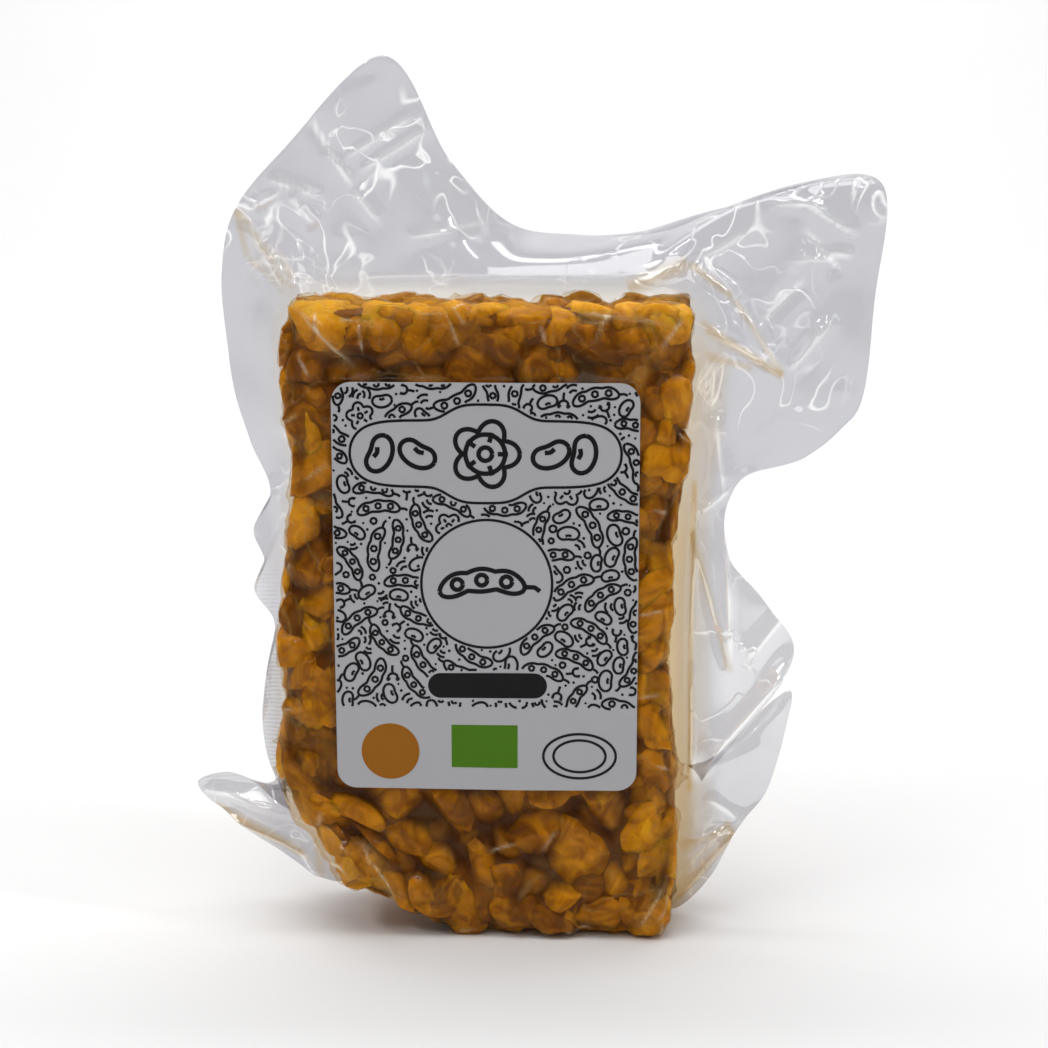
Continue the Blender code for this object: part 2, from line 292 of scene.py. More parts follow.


# Vacuum film, clear nylon blown together with polythene. A sheet passes most light a little greyed,
# mirrors more at a glancing angle, and has a faint haze that thickens along its folds. On the block it
# lies wet on the beans: its haze is patchy and takes their colour, and its ridges carry painted
# highlights of pale haze and more gloss. Loose, it is stained where juice dried in its creases, milky
# with ribs 1 mm apart at the seal, and clear where it lies wet; along creases and folds it is painted
# clear of its grey and given more gloss, as painted highlights
def filmMaterial(name, shade, mirrorLeast, mirrorMost, haze, isLoose):
    material, tree = newMaterial(name)
    place = addNode(tree, "TexCoord", output="Object")
    facing = addNode(tree, "LayerWeight", {"Blend": 0.5}, output="Facing")
    glance = addNode(tree, "Math", (facing, 4.0), operation="POWER")
    mirror = addNode(tree, "Math", (glance, mirrorMost, mirrorLeast), operation="MULTIPLY_ADD")
    tint = linearColour(shade)
    # Fine folds: thin lines where a noise of 13 mm crosses its mean, kept only in places 24 mm wide
    slow = addNode(tree, "TexNoise", {
        "Vector": place, "Scale": 1 / (13.0 * mm), "Detail": 1.5, "Distortion": 0.8,
    })
    off = addNode(tree, "Math", (slow, 0.5), operation="SUBTRACT")
    off = addNode(tree, "Math", (off,), operation="ABSOLUTE")
    line = addNode(tree, "MapRange", (off, 0.0, 0.022, 1.0, 0.0), interpolation_type="SMOOTHSTEP")
    places = addNode(tree, "TexNoise", {"Vector": place, "Scale": 1 / (24.0 * mm), "Detail": 1.0})
    places = addNode(tree, "MapRange", (places, 0.48, 0.6, 0.0, 1.0))
    fold = addNode(tree, "Math", (line, places), operation="MULTIPLY")
    bump = addNode(tree, "Bump", {"Height": fold, "Strength": 0.7, "Distance": 0.0004})
    if isLoose:
        milkColour = linearColour("#E8E8EA")
        loose, crest, wet, stain, seal = (
            addNode(tree, "Attribute", output="Fac", attribute_name=key)
            for key in ("loose", "crest", "wet", "stain", "seal")
        )
        mirror = addNode(tree, "Math", (mirror, loose), operation="MULTIPLY")
        mirror = addNode(tree, "Math", (crest, 0.2, mirror), operation="MULTIPLY_ADD")
        # Painted highlights: crests and folds tint the film white; where it lies wet it is clear too
        bright = addNode(tree, "Math", (crest, fold), operation="MAXIMUM")
        bright = addNode(tree, "Math", (bright, wet), operation="MAXIMUM")
        for share, code in ((bright, "#FFFFFF"), (stain, "#DAC8A6")):
            tint = addNode(tree, "Mix", {
                "Factor": share, "A": tint, "B": linearColour(code),
            }, data_type="RGBA")
        # At a scale of 1 a wave's bands are a tenth of pi apart
        ribs = addNode(tree, "TexWave", {
            "Vector": place, "Scale": math.pi / 10 / (1.0 * mm), "Distortion": 1.5, "Detail": 1.0,
        }, output="Fac", bands_direction="Z")
        ribs = addNode(tree, "Math", (ribs, 0.12, 0.05), operation="MULTIPLY_ADD")
        milk = addNode(tree, "Math", (loose, haze), operation="MULTIPLY")
        milk = addNode(tree, "Math", (seal, ribs, milk), operation="MULTIPLY_ADD")
    else:
        lifted, glint = (
            addNode(tree, "Attribute", output="Fac", attribute_name=key) for key in ("lifted", "glint")
        )
        # Painted highlights along the ridges: more gloss, and a paler haze
        glint = addNode(tree, "Math", (glint, 2.0), operation="POWER")
        mirror = addNode(tree, "Math", (glint, 0.09, mirror), operation="MULTIPLY_ADD")
        patch = addNode(tree, "TexNoise", {"Vector": place, "Scale": 1 / (8.0 * mm), "Detail": 3.0})
        milk = addNode(tree, "MapRange", (patch, 0.5, 0.72, 0.05 * haze, haze))
        for share, strength in ((fold, 0.16), (lifted, 0.16), (glint, 0.5), (glance, 0.25)):
            milk = addNode(tree, "Math", (share, strength, milk), operation="MULTIPLY_ADD")
        milkColour = addNode(tree, "Mix", {
            "Factor": glint, "A": linearColour("#DAB068"), "B": linearColour("#F2E2BE"),
        }, data_type="RGBA")
    clear = addNode(tree, "BsdfTransparent", {"Color": tint})
    milky = addNode(tree, "BsdfDiffuse", {"Color": milkColour})
    sheet = addNode(tree, "MixShader", (milk, clear, milky))
    gloss = addNode(tree, "BsdfGlossy", {
        "Color": linearColour("#FFFFFF"), "Roughness": 0.09, "Normal": bump,
    })
    sheet = addNode(tree, "MixShader", (mirror, sheet, gloss))
    addNode(tree, "OutputMaterial", {"Surface": sheet})
    return material


# Coated paper and the ink printed on it: a smooth, half dull surface over fibres that break its sheen
# a little. The studio's floor is paper too, with less sheen. Fibres are 0.03 mm wide, too fine to show,
# and are drawn 0.6 mm wide
def paperMaterial(name, code, roughness):
    material, tree = newMaterial(name)
    place = addNode(tree, "TexCoord", output="Object")
    fibre = addNode(tree, "TexNoise", {"Vector": place, "Scale": 1 / (0.6 * mm), "Detail": 2.0})
    bump = addNode(tree, "Bump", {"Height": fibre, "Strength": 0.08, "Distance": 0.0001})
    surface = addNode(tree, "BsdfPrincipled", {
        "Base Color": linearColour(code), "Roughness": roughness, "IOR": 1.4,
        "Specular IOR Level": 0.25, "Normal": bump,
    })
    addNode(tree, "OutputMaterial", {"Surface": surface})
    return material


# A closed box of square cells, as points from -1 to 1 each way: each face is a grid, and points that two
# faces share are made one
def boxGrid(cell):
    cells = np.round(2 * blockHalf / cell).astype(int)
    keys, quads = [], []
    for axis in range(3):
        first, second = [a for a in range(3) if a != axis]
        i, j = np.meshgrid(np.arange(cells[first] + 1), np.arange(cells[second] + 1), indexing="ij")
        faces = gridFaces(*i.shape)
        for end in (0, cells[axis]):
            lattice = np.empty((i.size, 3), int)
            lattice[:, first], lattice[:, second], lattice[:, axis] = i.ravel(), j.ravel(), end
            outward = (end > 0) == (axis != 1)
            quads.append((faces if outward else faces[:, ::-1]) + sum(len(k) for k in keys))
            keys.append(lattice)
    lattice, index = np.unique(np.vstack(keys), axis=0, return_inverse=True)
    return lattice / cells * 2 - 1, index.reshape(-1)[np.vstack(quads)]


# Points of the straight box, given from -1 to 1 each way, pushed onto the same box with rounded edges:
# the nearest point of a box smaller by the radius, and the radius out from it. With the outward normals
def roundBox(unit, radius):
    box = unit * blockHalf
    inner = np.clip(box, radius - blockHalf, blockHalf - radius)
    normals = unitVectors(box - inner)
    return blockMiddle + inner + radius * normals, normals


beans = {
    "spacing": 7.6,          # least distance between the middles of neighbours
    "fillSpacing": 5.6,      # the same for the bits that fill the gaps, which are of the last kind
    "tries": 9000,
    # Kinds: half length, half width and half thickness; share of all; and how far from the middle the
    # flat face lies, which cuts nothing off a whole bean
    "kinds": (
        ("wholeBeans", (10.0, 8.6, 6.4), 0.34, (20.0, 20.0)),
        ("splitBeans", (11.0, 9.4, 6.4), 0.5, (0.6, 2.6)),
        ("beanBits", (8.4, 7.2, 5.4), 0.16, (1.0, 3.0)),
    ),
    "spread": 0.14,          # of size, each way
    "lean": 0.6,             # of a bean's flat side from the block's face, as a slope
    "turned": 0.3,           # share of beans whose flat face looks into the block
    "press": 1.7,            # most that a bean's top lies below the block's face
    "fillPress": 1.3,        # how much deeper the filling bits lie
    "neighbours": 9,         # beans that press on a bean, each with a flat face between the two
    "share": 0.16,           # how unevenly two beans part the way between them
    "overlap": 3.5,          # how far each reaches into the other
    "chips": 9,              # small flat faces where a bean is chipped
    "chipDepth": (0.66, 1.02),
    "stand": 0.25,           # how far a bean may stand past the block's face
    "tilt": 0.5,             # of the faces pressed by the film, as a slope
    "pressed": 0.4,          # most that those stand past the block's face, the least being 1 mm less
    "thinnest": 0.3,         # least distance from a bean's middle to a flat face
    "ripple": 0.075,
    "rippleRate": 2.6,
    "sharpness": 11.0,       # of the creases where pressed faces meet
    "around": 16,
    "rings": 9,
    "crowding": 1.15,        # of the rings towards the outward pole, as a power
    "tones": (-0.22, 0.58),  # from dark beans to pale ones
    "sideLight": (0.6, 4.0),  # painted light that the block's sides add, and how fast it fades inwards
    "rightLight": 0.12,       # painted light that the right of the block adds
    "topLight": (0.75, 4.5),  # painted light that the block's top adds, and how fast it fades downwards
    "bandShade": (-0.34, 13.0, 6.0),    # painted shade that the band below the top adds, its depth and half width
    "seed": 5,
}


# Bean places thrown on the block's surface, keeping those clear of all laid before. Each bean lies
# flat to the surface but leans, is cut by its own flat face if split, is squashed flat against its
# nearest neighbours, and is pressed by the block's faces, each a little tilted
def layBeans():
    rng = np.random.default_rng(beans["seed"])
    tries = np.arange(beans["tries"])
    spots = rng.uniform(-1, 1, (len(tries), 3))
    sides = 1 / blockHalf
    axis = rng.choice(3, len(tries), p=sides / sides.sum())
    spots[tries, axis] = np.sign(spots[tries, axis])
    surface, normals = roundBox(spots, block["edgeRadius"])
    kept = np.empty(0, int)
    for spacing in (beans["spacing"], beans["fillSpacing"]):
        large = len(kept)
        for i in tries:
            if (((surface[kept] - surface[i]) ** 2).sum(axis=1) > spacing ** 2).all():
                kept = np.append(kept, i)
    surface, normals = surface[kept], normals[kept]
    total = len(kept)
    filling = np.arange(total) >= large
    sizes, shares, flats = (np.array(column) for column in list(zip(*beans["kinds"]))[1:])
    kind = np.where(filling, len(sizes) - 1, rng.choice(len(sizes), total, p=shares))
    axes = sizes[kind] * rng.uniform(1 - beans["spread"], 1 + beans["spread"], (total, 1))
    lean = beans["lean"] * rng.normal(size=(total, 3)) * rng.uniform(0.2, 1, (total, 1))
    thin = unitVectors(normals + lean)
    long = unitVectors(np.cross(thin, rng.normal(size=(total, 3))))
    frames = np.stack([long, np.cross(thin, long), thin], axis=1)
    nearest, farthest = flats[kind].T
    cut = nearest + (farthest - nearest) * rng.uniform(0, 1, total)
    turned = rng.uniform(0, 1, total) < beans["turned"]
    flatFace = np.where(turned[:, None], -thin, thin)
    # The bean's top along the surface normal, less what its flat face takes off
    across = np.einsum("nij,nj->ni", frames, normals)
    top = np.linalg.norm(across * axes, axis=1)
    top = np.where(turned, top, np.minimum(top, cut / np.maximum(across[:, 2], 0.35)))
    lower = beans["press"] * rng.uniform(0, 1, total) ** 1.3 + beans["fillPress"] * filling
    centres = surface - normals * (top + lower)[:, None]
    chips = unitVectors(rng.normal(size=(total, beans["chips"], 3)))
    radius = 1 / np.linalg.norm(np.einsum("nij,nkj->nki", frames / axes[:, :, None], chips), axis=2)
    chipped = radius * rng.uniform(*beans["chipDepth"], radius.shape)
    away = centres[None] - centres[:, None]
    # A bean isn't its own neighbour
    apart = np.linalg.norm(away, axis=2) + 99 * np.eye(total)
    near = np.argsort(apart, axis=1)[:, :beans["neighbours"]]
    rows = np.arange(total)[:, None]
    uneven = rng.uniform(-1, 1, (total, total))
    uneven = 0.5 + beans["share"] * (uneven - uneven.T)[rows, near]
    between = apart[rows, near] * uneven + beans["overlap"]
    straight = np.repeat(np.vstack([np.eye(3), -np.eye(3)])[None], total, axis=0)
    toSides = np.concatenate([
        blockMiddle + blockHalf - centres, centres - (blockMiddle - blockHalf),
    ], axis=1)
    tilted = unitVectors(straight + beans["tilt"] * rng.uniform(-1, 1, straight.shape))
    pressed = toSides + beans["pressed"] - rng.uniform(0, 1, toSides.shape)
    planes = np.concatenate([toSides + beans["stand"], pressed, chipped, between, cut[:, None]], axis=1)
    towards = away[rows, near] / apart[rows, near][..., None]
    waves = rng.normal(0, beans["rippleRate"], (total, 3, 3))
    phases = rng.uniform(0, 2 * math.pi, (total, 3))
    # Painted light: beans are paler near the block's sides and on its right
    most, fade = beans["sideLight"]
    toSide = toSides[:, [0, 3]].min(axis=1).clip(0)
    tone = rng.uniform(*beans["tones"], total) + most * np.exp(-toSide / fade)
    return {
        "centres": centres,
        "outward": normals,
        "kind": kind,
        "shape": frames / axes[:, :, None],
        "normals": np.concatenate([straight, tilted, chips, towards, flatFace[:, None]], axis=1),
        "planes": np.maximum(planes, beans["thinnest"]),
        "waves": waves,
        "phases": phases,
        "tone": tone + beans["rightLight"] * smoothstep(20, 40, centres[:, 0]),
    }


# How far a bean reaches in a direction: the least of its spheroid's radius and the distances to the
# planes that press on it, softened by adding their inverses at a high power, then rippled a little
def beanReach(laid, which, direction):
    power = beans["sharpness"]
    spheroid = np.linalg.norm(np.einsum("...ij,...j->...i", laid["shape"][which], direction), axis=-1)
    facing = np.einsum("...kj,...j->...k", laid["normals"][which], direction) / laid["planes"][which]
    reach = (spheroid ** power + (np.maximum(facing, 0) ** power).sum(axis=-1)) ** (-1 / power)
    waves = np.einsum("...kj,...j->...k", laid["waves"][which], direction) + laid["phases"][which]
    return reach * (1 + beans["ripple"] * np.sin(waves).sum(axis=-1) / 2)


# Share of the painted shade and juice kept at a height: less at the block's top, where the light falls,
# by a share that halves and halves again downwards
def shadeAndJuiceLeft(z):
    gone, fade = block["topLit"]
    return 1 - gone * np.exp(-(block["height"] - z) / fade)


# One kind's beans: a ball of rings round the outward pole, each point at the bean's reach. The rings
# crowd towards the pole, the end that shows. No bean passes the label's film or the floor. The tone
# rises along the block's top as painted light and falls in a band below it as painted shade, and the
# depth is that below the box's faces
def beanMeshes(laid, kind):
    which = np.flatnonzero(laid["kind"] == kind)
    rings, around = beans["rings"], beans["around"]
    polar = math.pi * (np.arange(1, rings + 1) / (rings + 1)) ** beans["crowding"]
    turn = np.arange(around) * 2 * math.pi / around
    ball = np.stack([
        np.sin(polar)[:, None] * np.cos(turn), np.sin(polar)[:, None] * np.sin(turn),
        np.cos(polar)[:, None] * np.ones(around),
    ], axis=-1).reshape(-1, 3)
    ball = np.vstack([[0, 0, 1], ball, [0, 0, -1]])
    pole = unitVectors(laid["outward"][which])
    # Any direction that no pole has
    side = unitVectors(np.cross(pole, [0.31, 0.52, 0.79]))
    basis = np.stack([side, np.cross(pole, side), pole], axis=1)
    direction = ball[None] @ basis
    reach = beanReach(laid, which[:, None], direction)
    points = laid["centres"][which][:, None] + direction * reach[..., None]
    x, y, z = np.moveaxis(points.reshape(-1, 3), -1, 0)
    behind = 0.2 - block["depth"] / 2 - swell(x, z)
    y = np.where((underLabel(x, z, 1.0) > 0) & (y < behind), behind, y)
    points = np.stack([x, y, np.maximum(z, 0.1)], axis=-1)
    first = 1 + np.arange(around)
    last = first + (rings - 1) * around
    triangles = np.vstack([
        halves(gridFaces(rings, around, wrapColumns=True) + 1),
        np.stack([np.zeros(around, int), np.roll(first, -1), first], axis=1),
        np.stack([np.full(around, len(ball) - 1), last, np.roll(last, -1)], axis=1),
    ])
    faces = (triangles[None] + (np.arange(len(which)) * len(ball))[:, None, None]).reshape(-1, 3)
    below = block["height"] - points[:, 2]
    # Painted light along the block's top, and painted shade in a band below it
    (atTop, fade), (inBand, deep, half) = beans["topLight"], beans["bandShade"]
    tone = np.repeat(laid["tone"][which], len(ball))
    tone += atTop * np.exp(-(below / fade) ** 2) + inBand * np.exp(-((below - deep) / half) ** 2)
    depth = (blockHalf - np.abs(points - blockMiddle)).min(axis=1) * shadeAndJuiceLeft(points[:, 2])
    return warpBlock(points), faces, {"tone": tone, "depth": depth}


shrunk = {
    "cell": 0.72,
    "clear": 0.1,            # film above the beans' tops
    "suction": 0.05,         # how far the vacuum pulls each cell below its neighbours' mean
    "passes": 70,
    "start": 1.0,            # height from which the beans are approached
    "stride": 0.75,          # share of the gap that each step covers
    "lowest": -5.0,          # deepest that a gap between beans is followed
    "marches": 9,
    "candidates": 11,        # beans tried for each point, the nearest to a place at the beans' depth
    "beanDepth": 3.5,
    "traced": 6000,          # points at a time
    "wrinkles": 240,
    "onEdges": 0.5,          # share of wrinkles that cross the block's edges
    "nearEdge": 0.88,        # where those start, as a share of the way from a side's middle
    "wander": 0.5,           # of those from square to the edge
    "labelMargin": 6.0,      # between wrinkles and the label
    "raised": 0.75,          # share of wrinkles that stand up; the others sink, by less
    "sunk": -0.6,
    "wrinkleLength": (5.0, 15.0),
    "wrinkleHalf": (0.9, 1.5),
    "wrinkleHeight": (0.25, 0.6),
    "glintHeight": 0.3,      # least height of a wrinkle that gets a painted highlight
    "glintHalf": 0.85,
    # Tents where the film stands off the corners: x, y, z at each end, half width, height
    "tents": (
        (-46, -17, 40, -40, -17, 4, 6.0, 3.6), (-34, -17, 24, -28, -17, 3, 5.0, 2.6),
        (-44, -17, 148, -27, -17, 131, 3.0, 1.5), (46, -17, 148, 37, -17, 135, 3.0, 1.4),
        (45, -17, 16, 37, -17, 2, 3.5, 2.0), (46, -14, 66, 46, -15, 20, 2.5, 1.2),
        (-32, -17, 147, -6, -16, 145, 2.5, 1.1), (16, -16, 146, 44, -17, 142, 2.5, 1.1),
        (-46, -16, 116, -45, -16, 82, 2.5, 1.0),
    ),
    "seed": 8,
}

core = {
    "cell": 1.35,
    "deepest": 3.4,
    "passes": 2,
    "smoothing": 0.7,        # share that each pass takes from the neighbours
    "sink": 0.8,
}


# Where the outside of the beans lies, in or out along the normals: the nearest bean surface is
# approached from outside in steps of a share of the distance to it
def traceBeans(laid, points, normals):
    centres, candidates = laid["centres"], shrunk["candidates"]
    found = np.empty(len(points))
    for start in range(0, len(points), shrunk["traced"]):
        part = slice(start, start + shrunk["traced"])
        base, out = points[part], normals[part]
        apart = (base - shrunk["beanDepth"] * out)[:, None] - centres[None]
        near = np.argpartition((apart ** 2).sum(axis=2), candidates, axis=1)[:, :candidates]
        height = np.full(len(base), shrunk["start"])
        for _ in range(shrunk["marches"]):
            away = (base + out * height[:, None])[:, None] - centres[near]
            distance = np.linalg.norm(away, axis=2)
            gap = (distance - beanReach(laid, near, away / distance[..., None])).min(axis=1)
            height = np.maximum(height - shrunk["stride"] * gap, shrunk["lowest"])
        found[part] = height
    return found


# A function that gives each point's mean over the points that share an edge with it
def neighbourMean(faces, total):
    pairs = np.vstack([faces[:, [k, (k + 1) % 4]] for k in range(4)])
    start, end = np.vstack([pairs, pairs[:, ::-1]]).T
    count = np.bincount(start, minlength=total)
    return lambda values: np.bincount(start, values[end], total) / count


# The mass between the beans: juice and skins that fill the gaps, as the beans' own outside smoothed by
# taking neighbours' means and sunk a little
def fillBetween(laid):
    unit, faces = boxGrid(core["cell"])
    points, normals = roundBox(unit, block["filmRadius"])
    height = np.clip(traceBeans(laid, points, normals), -core["deepest"], 0)
    mean = neighbourMean(faces, len(height))
    for _ in range(core["passes"]):
        height = (1 - core["smoothing"]) * height + core["smoothing"] * mean(height)
    height = np.minimum(height, 0) - core["sink"]
    # The depth darkens the mass as painted shade, less at the block's top, where the light falls
    depth = -height * shadeAndJuiceLeft(points[:, 2])
    return warpBlock(points + normals * height[:, None]), faces, {"depth": depth}


# Low ridges of triangular section along straight lines, added up. Each row gives a line's two ends,
# half its width and its height. The slope's foot and top are rounded, as the distance from the line is
# the root of its square and a small square, and the height fades over a share of the line at each end
def roofs(at, rows, soft=0.1, fade=0.25):
    height = np.zeros(len(at))
    for row in np.asarray(rows, float):
        ends = row[:-2].reshape(2, -1)
        half, high = row[-2:]
        line = ends[1] - ends[0]
        share = np.clip((at - ends[0]) @ line / (line @ line), 0, 1)
        off = np.linalg.norm(at - ends[0] - share[:, None] * line, axis=1)
        slope = np.maximum(0, 1 - np.sqrt(off ** 2 + soft ** 2) / half)
        height += high * slope * smoothstep(0, fade, share) * smoothstep(0, fade, 1 - share)
    return height


# Rows of ridges given one half width and a height of 1, for the painted highlights along them
def glintRows(rows, half):
    rows = np.array(rows, float)
    rows[:, -2], rows[:, -1] = half, 1.0
    return rows


# Short wrinkles of the film, as lines laid on the block's surface: some cross its edges, the others
# lie anywhere, and none lies under the label
def filmWrinkles():
    rng = np.random.default_rng(shrunk["seed"])
    count = shrunk["wrinkles"]
    spots = rng.uniform(-1, 1, (count, 3))
    rows = np.arange(count)
    # The front and back take half of them
    face = rng.choice([0, 1, 1, 2], count)
    spots[rows, face] = np.sign(spots[rows, face])
    other = (face + 1 + rng.integers(0, 2, count)) % 3
    edge = rng.uniform(0, 1, count) < shrunk["onEdges"]
    outer = np.sign(spots[rows, other]) * rng.uniform(shrunk["nearEdge"], 1.0, count)
    spots[rows[edge], other[edge]] = outer[edge]
    middle, normals = roundBox(spots, block["filmRadius"])
    toEdge = np.zeros((count, 3))
    toEdge[rows, other] = 1.0
    toEdge += shrunk["wander"] * rng.normal(size=(count, 3))
    way = np.where(edge[:, None], toEdge, rng.normal(size=(count, 3)))
    way = unitVectors(np.cross(normals, np.cross(way, normals)))
    half = way * rng.uniform(*shrunk["wrinkleLength"], (count, 1)) / 2
    clear = (underLabel(middle[:, 0], middle[:, 2], shrunk["labelMargin"]) < 0.5) | (normals[:, 1] > -0.5)
    sign = np.where(rng.uniform(0, 1, count) < shrunk["raised"], 1.0, shrunk["sunk"])
    lines = np.column_stack([
        middle - half, middle + half, rng.uniform(*shrunk["wrinkleHalf"], count),
        sign * rng.uniform(*shrunk["wrinkleHeight"], count),
    ])
    return lines[clear]


# The film as a membrane on the rounded box: each point rests on the beans or hangs at its neighbours'
# mean, pulled in a little by the vacuum, whichever is higher. Wrinkles and tents are added to that.
# Under the label it follows the swell, and on the ground it lies flat
def wrapFilm(laid):
    unit, faces = boxGrid(shrunk["cell"])
    points, normals = roundBox(unit, block["filmRadius"])
    resting = traceBeans(laid, points, normals)
    print("beans traced")
    label = smoothstep(0.8, 0.98, -normals[:, 1]) * underLabel(points[:, 0], points[:, 2], 1.0)
    hold = np.where(label > 0.5, swell(points[:, 0], points[:, 2]) - shrunk["clear"], -np.inf)
    mean = neighbourMean(faces, len(points))
    height = resting.copy()
    for _ in range(shrunk["passes"]):
        height = np.maximum(np.maximum(resting, mean(height) - shrunk["suction"]), hold)
    tents, wrinkles = roofs(points, shrunk["tents"]), filmWrinkles()
    height = height + roofs(points, wrinkles) + tents
    # Painted highlights along the tents and the raised wrinkles, off the label
    ridges = np.vstack([shrunk["tents"], wrinkles[wrinkles[:, -1] > shrunk["glintHeight"]]])
    glint = roofs(points, glintRows(ridges, shrunk["glintHalf"]), fade=0.35) * (1 - label)
    height = np.where(label > 0.5, hold, height)
    ground = smoothstep(0.7, 0.98, -normals[:, 2]) > 0.5
    height = np.where(ground, np.minimum(height, 0.05), height)
    film = warpBlock(points + normals * (height + shrunk["clear"])[:, None])
    film[:, 2] = np.maximum(film[:, 2], 0.02)
    return film, faces, {"lifted": np.clip(tents / 2, 0, 1), "glint": np.clip(glint, 0, 1)}


